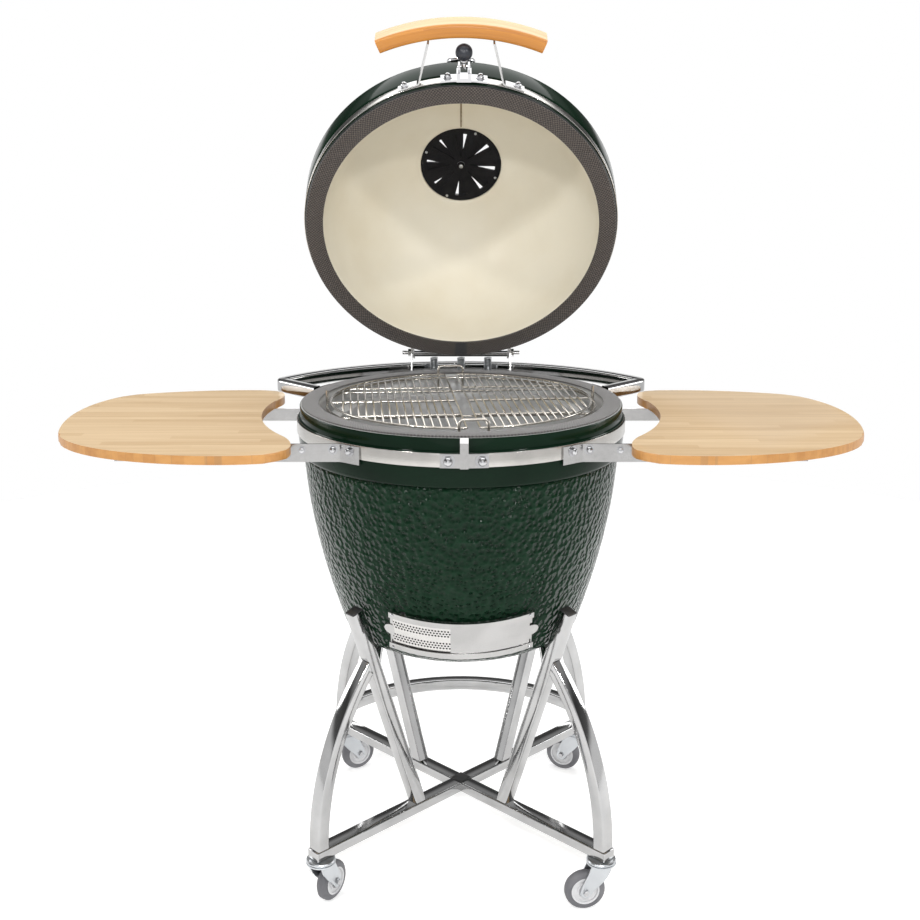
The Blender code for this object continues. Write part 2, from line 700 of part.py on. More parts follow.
def sliding_panel(name, inner, inmost, outmost, half):
    """A curved panel with a finger tab past its outer end."""
    outer = inner + DOOR_SHEET
    way = math.copysign(1.0, outmost - inmost)
    steps = round(abs(outmost - inmost) / ARC_STEP)
    columns = [(inmost + (outmost - inmost) * index / steps, -half, half) for index in range(steps + 1)]
    columns += [(outmost + way * 0.25, -0.012, 0.010), (outmost + way * DOOR_TAB_ANGLE, -0.012, 0.010)]
    return loft(name, [[at(inner, azimuth, low), at(outer, azimuth, low), at(outer, azimuth, high),
                        at(inner, azimuth, high)] for azimuth, low, high in columns])


# ------------------------------------------------------------------ lid pieces
def build_lid(lid):
    """Dome, felt, band and vent."""
    rim = RIM_HEIGHT + FELT_THICKNESS + 2 * GAP
    lip = RIM_RADIUS + LID_LIP_OUT
    seat = LID_BAND_RADIUS - BAND_THICKNESS - GAP
    band_low = RIM_HEIGHT + LID_BAND_BOTTOM
    band_high = band_low + LID_BAND_HEIGHT
    dome = [(r, RIM_HEIGHT + h) for r, h in dome_curve()]
    ceiling = RIM_HEIGHT + DOME_HEIGHT - DOME_THICKNESS
    hollow = bezier((RIM_INNER, rim), (RIM_INNER - 0.005, rim + 0.46 * DOME_HEIGHT),
                    (CHIMNEY_RADIUS + 0.107, ceiling - 0.020), (CHIMNEY_RADIUS, ceiling), 8)
    shoulder = RIM_HEIGHT + LID_SHOULDER
    outside = [(RIM_RADIUS + 0.0070, shoulder), (RIM_RADIUS + 0.0055, band_high + 0.006),
               (seat, band_high + 0.002), (seat, band_low - 0.001), (lip, band_low - 0.002), (lip, rim)]
    chimney = [(CHIMNEY_RADIUS, RIM_HEIGHT + DOME_HEIGHT)]
    profile = hollow + chimney + dome[::-1] + outside
    shell = turned("lid_dome", profile, EGG_STEPS)
    seat_point, normal = thermometer_seat()
    bore = rod("bore", PROBE_RADIUS + 0.0015, seat_point - normal * 0.08, seat_point + normal * 0.05)
    node(cut(shell, bore), "lid_dome", "glaze", lid)

    felt = [(RIM_INNER, rim - GAP), (RIM_RADIUS, rim - GAP), (RIM_RADIUS, RIM_HEIGHT + GAP),
            (RIM_INNER, RIM_HEIGHT + GAP)]
    node(turned("lid_gasket", felt, EGG_STEPS), "lid_gasket", "felt", lid)
    inner = LID_BAND_RADIUS - BAND_THICKNESS
    band = [(inner, band_high), (LID_BAND_RADIUS, band_high), (LID_BAND_RADIUS, band_low), (inner, band_low)]
    node(turned("lid_band", band, EGG_STEPS), "lid_band", "steel", lid)
    build_thermometer(lid, seat_point, normal)
    build_vent(lid)


def thermometer_seat():
    """Where the thermometer sits on the front of the dome, and the way it faces."""
    curve = dome_curve()
    index = max(1, round(THERMOMETER_SHARE * (len(curve) - 1)))
    (r0, h0), (r1, h1) = curve[index], curve[index + 1]
    run = Vector((0, -(r1 - r0), h1 - h0)).normalized()
    normal = Vector((0, -run.z, run.y))
    point = Vector((0, -(r0 + r1) / 2, RIM_HEIGHT + (h0 + h1) / 2))
    return point, normal


def build_thermometer(lid, seat, normal):
    """A round dial on the front of the dome with a probe through the wall."""
    near = seat + normal * 0.0025
    dial = rod("thermometer", DIAL_RADIUS, near, near + normal * 0.010, 24, DIAL_RADIUS * 0.93)
    stem = rod("stem", PROBE_RADIUS, near - normal * PROBE_LENGTH, near + normal * 0.002, 8)
    node(join(dial, stem), "thermometer", "steel", lid)


def vent_wedges(name, low, high, turn):
    """The wedge-shaped cutters of a vent plate."""
    outer = VENT_WHEEL_RADIUS - 0.004
    wedges = []
    for index in range(VENT_SLOTS):
        middle = math.radians(index * 360.0 / VENT_SLOTS + turn)
        half = math.radians(VENT_SLOT_ANGLE / 2)
        corners = [(VENT_HUB * math.cos(middle), VENT_HUB * math.sin(middle))]
        corners += [(outer * math.cos(middle + share * half), outer * math.sin(middle + share * half))
                    for share in (-1, -0.33, 0.33, 1)]
        wedges.append(plate(f"{name}_{index}", corners, high - low, Matrix.Translation((0, 0, (low + high) / 2))))
    return wedges


def build_vent(lid):
    """Iron collar with a slotted plate in the chimney, and the slotted wheel that turns on it."""
    top = RIM_HEIGHT + VENT_PLATE_TOP
    low = top - VENT_PLATE
    deck = RIM_HEIGHT + DOME_HEIGHT
    tube = CHIMNEY_RADIUS - 0.0008
    bore = tube - 0.0045
    collar = [(0.0, top), (bore, top), (bore, deck + 0.0045), (tube + 0.016, deck + 0.0045),
              (tube + 0.016, deck + GAP), (tube, deck + GAP), (tube, low), (0.0, low)]
    piece = turned("vent_collar", collar, EGG_STEPS, closed=False)
    hole = rod("bolt_hole", PIN_RADIUS + PIVOT_GAP, (0, 0, low - 0.01), (0, 0, top + 0.01))
    piece = cut(piece, hole, *vent_wedges("plate_slot", low - 0.01, top + 0.01, 0.0))
    node(piece, "vent_collar", "iron", lid)

    face = top + PIVOT_GAP
    deck = face + VENT_PLATE
    spin = empty("vent_turn", (0, 0, RIM_HEIGHT), lid)
    wheel = [(0.0, deck + 0.006), (0.010, deck + 0.006), (0.012, deck), (VENT_WHEEL_RADIUS, deck),
             (VENT_WHEEL_RADIUS, face), (PIN_RADIUS, face), (PIN_RADIUS, low - PIVOT_GAP),
             (2 * PIN_RADIUS, low - PIVOT_GAP), (2 * PIN_RADIUS, low - 0.006), (0.0, low - 0.006)]
    wheel = turned("daisy_wheel", wheel, EGG_STEPS, closed=False)
    wheel = cut(wheel, *vent_wedges("wheel_slot", face - PIVOT_GAP / 2, deck + 0.01, VENT_REST))
    azimuth = math.radians(VENT_REST + 180.0 / VENT_SLOTS)
    grip = Vector((0.062 * math.cos(azimuth), 0.062 * math.sin(azimuth), deck - VENT_PLATE / 2))
    post = rod("grip", 0.005, grip, grip + Vector((0, 0, 0.030)), 12, 0.007)
    node(join(wheel, post), "daisy_wheel", "iron", spin)


def build_handle(lid):
    """Arched bamboo grip on two bent flat arms."""
    middle = RIM_HEIGHT + HANDLE_HEIGHT
    half = math.degrees(HANDLE_LENGTH / 2 / HANDLE_RADIUS)
    path = arc_points((0, 0), HANDLE_RADIUS, -90 - half, -90 + half, 16)
    grip = bar_along("lid_handle", path, HANDLE_THICK, HANDLE_TALL,
                     Matrix.Translation((0, 0, middle)), rounding=0.004)
    node(grip, "lid_handle", "bamboo", lid)

    foot = LID_BAND_RADIUS + GAP + ARM_THICK / 2
    band_middle = RIM_HEIGHT + LID_BAND_BOTTOM + LID_BAND_HEIGHT / 2
    under = HANDLE_RADIUS - HANDLE_THICK / 2 - 0.0011
    for side, name in ((-1, "handle_arm_left"), (1, "handle_arm_right")):
        outer = math.degrees(math.asin(ARM_FOOT_X / foot))
        bend = math.degrees(math.asin(ARM_BEND_X / foot))
        steps = 4
        along = [at(foot, outer + (bend - outer) * i / steps, 0) for i in range(steps + 1)]
        top = Vector((ARM_TOP_X, -math.sqrt(under ** 2 - ARM_TOP_X ** 2), 0))
        corner = along[-1] + Vector((-0.0035, -0.004, 0))
        path = [(side * p.x, p.y) for p in (*along, corner, top)]
        arm = bar_along(name, path, ARM_THICK, ARM_WIDTH, Matrix.Translation((0, 0, band_middle)))
        node(arm, name, "steel", lid)


def build_latch(lid, root):
    """Latch bracket and swinging lever on the lid, and the striker on the base."""
    low = RIM_HEIGHT + LID_BAND_BOTTOM - 0.002
    azimuth = math.degrees(math.asin(LATCH_X / LID_BAND_RADIUS))
    half = math.degrees(math.asin(LATCH_HALF / LID_BAND_RADIUS))
    face = LID_BAND_RADIUS + GAP
    back = bent_bar("latch_bracket", face, face + LATCH_PLATE, low, low + LID_BAND_HEIGHT + 0.004,
                    azimuth - half, azimuth + half)
    width, deep, tall = LATCH_BLOCK
    block_low = RIM_HEIGHT + 0.0035
    block_y = -(face + LATCH_PLATE * 0.5 + deep / 2)
    block = box("block", (width, deep, tall), (LATCH_X, block_y, block_low + tall / 2))
    slot = box("slot", (0.013, deep, tall * 2), (LATCH_X, block_y - deep * 0.45, block_low + tall * 0.8))
    pivot = Vector((LATCH_X, -(RIM_RADIUS + LATCH_PIVOT_OUT), block_low + tall * 0.62))
    ears = [box("ear", (0.003, 0.022, 0.014), (LATCH_X + side * 0.0088, pivot.y + 0.006, pivot.z))
            for side in (-1, 1)]
    bracket = join(cut(join(back, block), slot), *ears)
    pin_hole = rod("pin_hole", 0.0025, pivot - Vector((0.02, 0, 0)), pivot + Vector((0.02, 0, 0)))
    node(cut(bracket, pin_hole), "latch_bracket", "chrome", lid)

    swing = empty("latch_swing", pivot, lid)
    knob = Vector((LATCH_X, -(RIM_RADIUS + KNOB_OUT), pivot.z))
    stem = rod("latch_lever", 0.0045, pivot - Vector((0, -0.004, 0)), knob)
    axle = rod("axle", 0.0020, pivot - Vector((0.0115, 0, 0)), pivot + Vector((0.0115, 0, 0)), 12)
    neck = rod("neck", 0.0062, knob + Vector((0, 0.020, 0)), knob + Vector((0, 0.009, 0)), 12, 0.0045)
    lever = join(stem, axle, neck, ball("knob", KNOB_RADIUS, knob))
    node(lever, "latch_lever", "chrome", swing, pivot)

    strip = BAND_RADIUS + GAP
    start = math.degrees(math.asin(LATCH_X / BAND_RADIUS))
    half = math.degrees(math.asin(0.040 / BAND_RADIUS))
    band_low = RIM_HEIGHT - BAND_TOP - BAND_HEIGHT
    joint = bent_bar("latch_striker", strip, strip + 0.003, band_low, band_low + BAND_HEIGHT,
                     start - half, start + half)
    outer = -(strip + 0.003 + STRAP_THICK / 2 - 0.0005)
    lip = -(RIM_RADIUS + LIP_OUT + RUNNING_GAP + STRAP_THICK / 2)
    path = [(-outer, band_low - 0.001), (-outer, RIM_HEIGHT - 0.010), (-lip, RIM_HEIGHT - 0.003)]
    strap = bar_along("strap", path, STRAP_THICK, STRAP_WIDTH,
                      frame_of((LATCH_X, 0, 0), (0, -1, 0), (0, 0, 1)))
    node(join(joint, strap), "latch_striker", "steel", root)


# ------------------------------------------------------------------ hinge
def build_hinge(lid, root):
    """Base bracket with its pin, lid bracket with the spring bar, and three springs."""
    pin = Vector((0, PIN_Y, PIN_Z))
    outer = HINGE_HALF + HINGE_PLATE
    near = math.sqrt((BAND_RADIUS + GAP) ** 2 - HINGE_HALF ** 2) + GAP
    under = RIM_HEIGHT - HINGE_DROP
    ear = [(near, under), (HINGE_BACK, under), (HINGE_BACK, RIM_HEIGHT - 0.020), (PIN_Y + 0.013, PIN_Z + 0.002),
           (PIN_Y + 0.007, PIN_Z + 0.012), (PIN_Y - 0.007, PIN_Z + 0.012), (PIN_Y - 0.013, PIN_Z),
           (near + 0.004, RIM_HEIGHT), (near, RIM_HEIGHT - 0.024)]
    pieces = []
    for side in (-1, 1):
        middle = Vector((side * (HINGE_HALF + HINGE_PLATE / 2), 0, 0))
        pieces.append(plate("ear", ear, HINGE_PLATE, frame_of(middle, (0, 1, 0), (0, 0, 1))))
        first = 180 - math.degrees(math.asin((HINGE_HALF + 0.001) / (BAND_RADIUS + GAP)))
        flange = sorted((side * first, side * (first - 7.0)))
        pieces.append(bent_bar("flange", BAND_RADIUS + GAP, BAND_RADIUS + GAP + HINGE_PLATE,
                               RIM_HEIGHT - BAND_TOP - BAND_HEIGHT, RIM_HEIGHT - BAND_TOP, *flange))
        pieces.append(rod("nut", 0.008, (side * (outer - 0.001), PIN_Y, PIN_Z), (side * (outer + 0.006), PIN_Y, PIN_Z), 6))
    shelf_y = BAND_RADIUS + 0.004
    pieces.append(box("floor", (2 * outer - 0.001, HINGE_BACK - shelf_y, HINGE_PLATE),
                      (0, (HINGE_BACK + shelf_y) / 2, under + HINGE_PLATE / 2)))
    pieces.append(box("back", (2 * outer - 0.001, HINGE_PLATE, HINGE_DROP - 0.014),
                      (0, HINGE_BACK - HINGE_PLATE / 2, under + (HINGE_DROP - 0.014) / 2)))
    pieces.append(rod("pin", PIN_RADIUS, pin - Vector((PIN_HALF, 0, 0)), pin + Vector((PIN_HALF, 0, 0)), 16))
    node(join(*pieces), "hinge_base_bracket", "steel", root)

    inner = HINGE_HALF - RUNNING_GAP - HINGE_PLATE
    start = math.sqrt((LID_BAND_RADIUS + GAP) ** 2 - inner ** 2) + GAP
    band_low = RIM_HEIGHT + LID_BAND_BOTTOM
    bar = SPRING_BAR
    cheek = [(start, band_low), (PIN_Y, PIN_Z - 0.012), (PIN_Y + 0.012, PIN_Z), (bar.y + 0.009, bar.z),
             (bar.y, bar.z + 0.009), (start + 0.009, bar.z + 0.004), (start, band_low + LID_BAND_HEIGHT)]
    pieces = []
    for side in (-1, 1):
        middle = Vector((side * (inner + HINGE_PLATE / 2), 0, 0))
        pieces.append(plate("cheek", cheek, HINGE_PLATE, frame_of(middle, (0, 1, 0), (0, 0, 1))))
        first = 180 - math.degrees(math.asin((inner + HINGE_PLATE - 0.0005) / (LID_BAND_RADIUS + GAP)))
        flange = sorted((side * first, side * (first + 7.0)))
        pieces.append(bent_bar("flange", LID_BAND_RADIUS + GAP, LID_BAND_RADIUS + GAP + 0.0025,
                               band_low, band_low + LID_BAND_HEIGHT, *flange))
    pieces.append(rod("spring_bar", PIN_RADIUS * 0.8, bar - Vector((inner + 0.001, 0, 0)),
                      bar + Vector((inner + 0.001, 0, 0)), 12))
    hole = rod("pin_hole", PIN_RADIUS + PIVOT_GAP, pin - Vector((PIN_HALF, 0, 0)), pin + Vector((PIN_HALF, 0, 0)), 16)
    node(cut(join(*pieces), hole), "hinge_lid_bracket", "steel", lid)

    opened = Matrix.Rotation(-math.radians(LID_OPEN), 4, "X") @ (bar - pin) + pin
    for index, name in enumerate(("hinge_spring_left", "hinge_spring_middle", "hinge_spring_right")):
        x = (index - 1) * SPRING_PITCH
        spring = rod(name, SPRING_RADIUS, (x, opened.y, under + HINGE_PLATE + GAP),
                     (x, opened.y, opened.z - PIN_RADIUS * 0.8 - 4 * GAP), 12)
        node(spring, name, "steel", root)


# ------------------------------------------------------------------ side shelves
def shelf_outline():
    """The right shelf's outline: concave towards the egg, one big round nose outwards."""
    nose = SHELF_CUT + SHELF_REACH
    middle = (SHELF_FRONT + SHELF_REAR) / 2
    depth = (SHELF_REAR - SHELF_FRONT) / 2
    edge = arc_points((0, 0), SHELF_CUT, 14, -34, 8)
    front_tip = (SHELF_CUT * 0.785, SHELF_FRONT + 0.085)
    rear_tip = (SHELF_CUT * 0.955, SHELF_REAR - 0.068)
    outline = edge[1:]
    outline += bezier(edge[-1], (front_tip[0] - 0.012, front_tip[1] + 0.010),
                      (front_tip[0] - 0.022, SHELF_FRONT + 0.020), (SHELF_CUT * 0.90, SHELF_FRONT + 0.010), 6)[1:]
    outline += bezier((SHELF_CUT * 0.90, SHELF_FRONT + 0.010), (SHELF_CUT * 1.20, SHELF_FRONT - 0.012),
                      (nose - 0.075, middle - 0.92 * depth), (nose - 0.020, middle - 0.42 * depth), 8)[1:]
    outline += bezier((nose - 0.020, middle - 0.42 * depth), (nose + 0.010, middle - 0.02 * depth),
                      (nose + 0.012, middle + 0.50 * depth), (nose - 0.062, middle + 0.80 * depth), 8)[1:]
    outline += bezier((nose - 0.062, middle + 0.80 * depth), (nose - 0.130, SHELF_REAR - 0.018),
                      (nose - 0.250, SHELF_REAR + 0.002), (SHELF_CUT + 0.010, SHELF_REAR - 0.008), 6)[1:]
    outline += bezier((SHELF_CUT + 0.010, SHELF_REAR - 0.008), (rear_tip[0] - 0.008, SHELF_REAR - 0.014),
                      (rear_tip[0] - 0.012, rear_tip[1] - 0.010), edge[0], 6)[1:]
    return outline


def build_shelves(root):
    """Two bamboo boards on steel arms that fold down about pins in brackets on the band."""
    outline = shelf_outline()
    top = RIM_HEIGHT - SHELF_DROP
    bracket_low = RIM_HEIGHT - BRACKET_TOP - BRACKET_HEIGHT
    arm_top = SHELF_UNDER - GAP
    for side, word in ((-1, "left"), (1, "right")):
        pivot = Vector((side * SHELF_PIVOT.x, 0, SHELF_PIVOT.z))
        fold = empty(f"shelf_fold_{word}", pivot, root)
        flipped = [(side * x, y) for x, y in outline]
        board = plate("board", flipped, SHELF_THICK, Matrix.Translation((0, 0, top - SHELF_THICK / 2)))
        node(board, f"shelf_{word}", "bamboo", fold, pivot)
        for place, y in zip(("front", "rear"), SHELF_ARM_Y):
            build_arm(f"shelf_arm_{word}_{place}", side, y, pivot, arm_top, fold)
            build_bracket(f"shelf_bracket_{word}_{place}", side, y, pivot, bracket_low, root)


def build_arm(name, side, y, pivot, top, fold):
    """An angle-section arm under a shelf."""
    inner = SHELF_PIVOT.x - 0.011
    outer = BAND_RADIUS + SHELF_ARM_REACH
    length = outer - inner
    web = box(name, (length, BRACKET_THICK, ARM_HEIGHT), (side * (inner + outer) / 2, y, top - ARM_HEIGHT / 2))
    start = SHELF_CUT + 0.012
    flange = box("flange", (outer - start, 0.018, 0.0025),
                 (side * (start + outer) / 2, y + 0.009 - BRACKET_THICK / 2, top - 0.00125))
    hole = rod("hole", 0.004 + PIVOT_GAP, pivot + Vector((0, y - 0.01, 0)), pivot + Vector((0, y + 0.01, 0)), 16)
    node(cut(join(web, flange), hole), name, "steel", fold, pivot)


def build_bracket(name, side, y, pivot, low, root):
    """A strip bolted round the band, bent out beside an arm, with the fold pin in it."""
    radius = BAND_RADIUS + GAP + BRACKET_THICK / 2
    step = -1 if y < 0 else 1
    plane = y + step * (BRACKET_THICK + RUNNING_GAP)
    leaves = math.degrees(math.atan2(math.sqrt(radius ** 2 - plane ** 2), -plane))
    first = leaves + step * BRACKET_FLANGE
    count = 4
    along = [at(radius, first + (leaves - first) * i / count, 0) for i in range(count + 1)]
    end = pivot.x * side + BRACKET_OVERHANG
    path = [(side * p.x, p.y) for p in along[:-1]]
    last = along[-1]
    path += [(side * (last.x + 0.003), plane), (side * end, plane)]
    middle = low + BRACKET_HEIGHT / 2
    strip = bar_along(name, path, BRACKET_THICK, BRACKET_HEIGHT, Matrix.Translation((0, 0, middle)))
    trim_low = SHELF_UNDER - 0.0055
    trim = box("trim", (0.2, 0.02, 0.05), (side * (SHELF_PIVOT.x - 0.017 + 0.1), plane, trim_low + 0.025))
    ring = rod("keep_band_clear", BAND_RADIUS + GAP, (0, 0, low - 0.01), (0, 0, low + 0.06), 2 * EGG_STEPS)
    strip = cut(strip, trim, ring)
    pin = rod("pin", 0.004, pivot + Vector((0, plane + step * 0.006, 0)), pivot + Vector((0, y - step * 0.006, 0)), 16)
    head = rod("head", 0.0075, pivot + Vector((0, plane + step * 0.007, 0)), pivot + Vector((0, plane, 0)), 6)
    node(join(strip, pin, head), name, "steel", root)


# ------------------------------------------------------------------ push bar
def build_push_bar(root):
    """A square tube bent round the back of the egg, with its two ends bolted to the band."""
    middle = RIM_HEIGHT - PUSH_TUBE / 2 - 0.001
    x, y = PUSH_CORNER
    start = at(BAND_RADIUS - 0.010, PUSH_LEG_AZIMUTH, 0)
    rise = PUSH_REAR - y
    radius = (x * x + rise * rise) / (2 * rise)
    centre_y = PUSH_REAR - radius
    half = math.degrees(math.atan2(x, y - centre_y))
    leg = (Vector((x, y, 0)) - start).normalized()
    arrive = Vector((-math.cos(math.radians(half)), math.sin(math.radians(half)), 0))
    corner = Vector((x, y, 0))
    setback = PUSH_BEND * 1.1
    turn = bezier((corner - leg * setback).xy, (corner - leg * setback * 0.4).xy,
                  (corner + arrive * setback * 0.4).xy, (corner + arrive * setback).xy, 5)
    trim = math.degrees(setback / radius) * 1.05
    arc = arc_points((0, centre_y), radius, 90 - half + trim, 90, 9)
    right = [tuple(start.xy)] + turn + arc[1:]
    path = right + [(-px, py) for px, py in right[-2::-1]]
    bar = bar_along("rear_push_bar", path, PUSH_TUBE, PUSH_TUBE, Matrix.Translation((0, 0, middle)), 0.003)
    ring = rod("band_room", BAND_RADIUS + GAP, (0, 0, RIM_HEIGHT - 0.1), (0, 0, RIM_HEIGHT + 0.1), 2 * EGG_STEPS)
    bar = cut(bar, ring)
    low = RIM_HEIGHT - BAND_TOP - BAND_HEIGHT
    feet = [bent_bar("foot", BAND_RADIUS + GAP, BAND_RADIUS + GAP + 0.003, low, RIM_HEIGHT - 0.004,
                     *sorted((side * (PUSH_LEG_AZIMUTH + 1.7), side * (PUSH_LEG_AZIMUTH + 9))))
            for side in (-1, 1)]
    node(join(bar, *feet), "rear_push_bar", "steel", root)


# ------------------------------------------------------------------ stand
def upright_lean():
    """The lean that lays an upright's inner face just clear of the bowl."""
    half = UPRIGHT_TUBE / 2
    best = 0.0
    for radius, depth in base_side():
        height = RIM_HEIGHT - depth
        if height > UPRIGHT_TOP:
            continue
        run = radius + SEAT_GAP - UPRIGHT_FOOT
        rise = height - CROSS_TOP
        reach = math.hypot(run, rise)
        best = max(best, math.atan2(run, rise) + math.asin(half / reach))
    return best


def radial_plane(azimuth):
    """A frame whose X runs outwards along an azimuth and whose Y runs up."""
    return frame_of((0, 0, 0), at(1.0, azimuth, 0.0), (0, 0, 1))


def build_stand(root):
    """Crossed arms, uprights, curved legs, side rails and the rear rail."""
    middle = CROSS_TOP - CROSS_HEIGHT / 2
    arms = [box("cross_frame", (2 * CROSS_REACH, CROSS_WIDTH, CROSS_HEIGHT), (0, 0, middle), turn)
            for turn in (45.0, 135.0)]
    node(join(*arms), "cross_frame", "steel", root)

    lean = upright_lean()
    rise = UPRIGHT_TOP - CROSS_TOP
    top_out = UPRIGHT_FOOT + rise * math.tan(lean)
    leg_middle = LEG_CURVE - LEG_TUBE / 2
    for corner, (azimuth, _) in CORNERS.items():
        plane = radial_plane(azimuth)
        start = (UPRIGHT_FOOT - 0.02 * math.tan(lean), CROSS_TOP - 0.02)
        post = bar_along("upright", [start, (top_out, UPRIGHT_TOP)], UPRIGHT_TUBE, UPRIGHT_TUBE, plane)
        slab = box("arm_room", (0.2, 0.2, 0.1), (*at(UPRIGHT_FOOT, azimuth, 0).xy, CROSS_TOP + GAP - 0.05))
        node(cut(post, slab), f"cradle_upright_{corner}", "steel", root)

        top_angle = math.degrees(math.asin((LEG_MEETS_Z - LEG_CENTRE_Z) / LEG_CURVE)) + 3
        path = arc_points((LEG_CENTRE, LEG_CENTRE_Z), leg_middle, 0.6, top_angle, 14)
        leg = bar_along("leg", path, LEG_TUBE, LEG_WIDTH, plane)
        under = box("arm_room", (0.2, 0.2, 0.1), (*at(CROSS_REACH, azimuth, 0).xy, CROSS_TOP + GAP - 0.05))
        room = bar_along("upright_room", [start, (top_out, UPRIGHT_TOP)], UPRIGHT_TUBE + 2 * GAP,
                         UPRIGHT_TUBE * 2, plane)
        inside = bar_along("inside", [(start[0] - 0.06, start[1]), (top_out - 0.06, UPRIGHT_TOP)],
                           0.1, UPRIGHT_TUBE * 2, plane)
        node(cut(leg, under, join(room, inside)), f"curved_leg_{corner}", "steel", root)

    build_side_rails(root, lean)
    build_rear_rail(root)


def build_side_rails(root, lean):
    """Level tubes between the front and rear uprights, level with the bowl's foot."""
    level = RIM_HEIGHT - BOWL_DEPTH - GAP
    reach = (UPRIGHT_FOOT + (level - CROSS_TOP) * math.tan(lean)) * math.sqrt(0.5)
    for side, word in ((-1, "left"), (1, "right")):
        rail = box("rail", (RAIL_TUBE, 2 * reach, RAIL_TUBE), (side * reach, 0, level))
        rooms = []
        for corner, (azimuth, _) in CORNERS.items():
            if word in corner:
                foot = UPRIGHT_FOOT
                top = (foot + (UPRIGHT_TOP - CROSS_TOP) * math.tan(lean), UPRIGHT_TOP)
                rooms.append(bar_along("upright_room", [(foot, CROSS_TOP), top], UPRIGHT_TUBE + 2 * GAP,
                                       UPRIGHT_TUBE + 2 * GAP, radial_plane(azimuth)))
                past = at(UPRIGHT_FOOT + reach * 2, azimuth, level)
                rooms.append(box("past", (0.2, 0.2, 0.2), (0, 0, 0)))
                rooms[-1].data.transform(Matrix.Translation((side * reach, math.copysign(reach + 0.1, past.y), level)))
        node(cut(rail, *rooms), f"side_rail_{word}", "steel", root)


def build_rear_rail(root):
    """An arc of square tube between the feet of the two rear legs."""
    centre_y = REAR_RAIL_BACK - REAR_RAIL_RADIUS
    path = arc_points((0, centre_y), REAR_RAIL_RADIUS, 28, 152, 20)
    rail = bar_along("rail", path, REAR_RAIL_TUBE, REAR_RAIL_TUBE,
                     Matrix.Translation((0, 0, REAR_RAIL_Z)), 0.002)
    rooms = []
    for side in (-1, 1):
        past = box("past", (1.0, 0.4, 0.2), (0, 0, 0))
        turn = Matrix.Rotation(math.radians(side * 45), 4, "Z")
        shift = Matrix.Translation((0, LEG_WIDTH / 2 + GAP - 0.2, REAR_RAIL_Z))
        past.data.transform(turn @ shift)
        rooms.append(past)
    node(cut(rail, *rooms), "rear_arc_rail", "steel", root)


# ------------------------------------------------------------------ casters
def build_casters(root):
    """Four swivel casters: a fork under each arm and a wheel in it."""
    race_top = CROSS_TOP - CROSS_HEIGHT - GAP
    race_low = race_top - RACE_THICK
    clear = WHEEL_WIDTH / 2 + RUNNING_GAP
    for corner, (azimuth, heading) in CORNERS.items():
        stem = at(CASTER_REACH, azimuth, race_top)
        angle = math.radians(heading)
        trail = Vector((math.cos(angle), math.sin(angle), 0))
        place = frame_of(stem.xy.to_3d(), trail, (0, 0, 1))
        swivel = empty(f"caster_swivel_{corner}", stem, root)

        race = turned("fork", [(0.0, race_top), (RACE_RADIUS * 0.62, race_top), (RACE_RADIUS, race_top - 0.003),
                               (RACE_RADIUS, race_low + 0.002), (RACE_RADIUS * 0.9, race_low), (0.0, race_low)],
                      ROUND_STEPS, closed=False)
        race.data.transform(Matrix.Translation(stem.xy.to_3d()))
        cheek = [(-0.016, race_low + 0.002), (CASTER_TRAIL - 0.012, WHEEL_RADIUS),
                 (CASTER_TRAIL - 0.008, WHEEL_RADIUS - 0.008), (CASTER_TRAIL, WHEEL_RADIUS - 0.011),
                 (CASTER_TRAIL + 0.008, WHEEL_RADIUS - 0.008), (CASTER_TRAIL + 0.011, WHEEL_RADIUS),
                 (0.021, race_low + 0.002)]
        across = trail.cross(Vector((0, 0, 1)))
        cheeks = [plate("cheek", cheek, FORK_PLATE, Matrix.Translation(across * s * (clear + FORK_PLATE / 2)) @ place)
                  for s in (-1, 1)]
        hub = stem.xy.to_3d() + trail * CASTER_TRAIL + Vector((0, 0, WHEEL_RADIUS))
        half = clear + FORK_PLATE + 0.004
        axle = rod("axle", AXLE_RADIUS, hub - across * half, hub + across * half, 12)
        node(join(race, *cheeks, axle), f"caster_fork_{corner}", "zinc", swivel, stem)

        spin = empty(f"caster_spin_{corner}", hub, swivel)
        bore, wide = AXLE_RADIUS + PIVOT_GAP, WHEEL_WIDTH / 2
        tyre = [(bore, wide), (WHEEL_RADIUS * 0.62, wide), (WHEEL_RADIUS * 0.66, wide * 0.84),
                (WHEEL_RADIUS * 0.92, wide * 0.80), (WHEEL_RADIUS, wide * 0.45), (WHEEL_RADIUS, -wide * 0.45),
                (WHEEL_RADIUS * 0.92, -wide * 0.80), (WHEEL_RADIUS * 0.66, -wide * 0.84),
                (WHEEL_RADIUS * 0.62, -wide), (bore, -wide)]
        wheel = turned("wheel", tyre, ROUND_STEPS)
        wheel.data.transform(Matrix.Translation(hub) @ across.to_track_quat("Z", "Y").to_matrix().to_4x4())
        node(wheel, f"caster_wheel_{corner}", "tyre", spin, hub)


# ------------------------------------------------------------------ the grill
def build_grill():
    """Build every sub-assembly and open the lid."""
    root = empty("grill", (0, 0, 0))
    lid = empty("lid_hinge", (0, PIN_Y, PIN_Z), root)
    build_stand(root)
    build_casters(root)
    build_base(root)
    build_grates(root)
    build_draft_door(root)
    build_push_bar(root)
    build_shelves(root)
    build_lid(lid)
    build_handle(lid)
    build_latch(lid, root)
    build_hinge(lid, root)
    lid.rotation_euler = (-math.radians(LID_OPEN), 0, 0)
    root.location.y = BOWL_AXIS_Y
    bpy.context.view_layer.update()


clear_scene()
GRILL = new_collection("kamado_grill")
build_grill()
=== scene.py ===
"""Visual model of a kamado charcoal grill: an egg-shaped ceramic body on a wheeled steel stand.

Lengths are metres and +Z is up.  The egg's pieces are drawn about the egg's own axis, the lid's pieces
closed, and then carried to their places by Frame.  Azimuths are degrees from the front, positive to +X.
"""
import sys
import json
import logging
import math
from dataclasses import dataclass
from enum import Enum
from typing import Callable, Iterable, Optional, Sequence

import bmesh
import bpy
from mathutils import Matrix, Vector


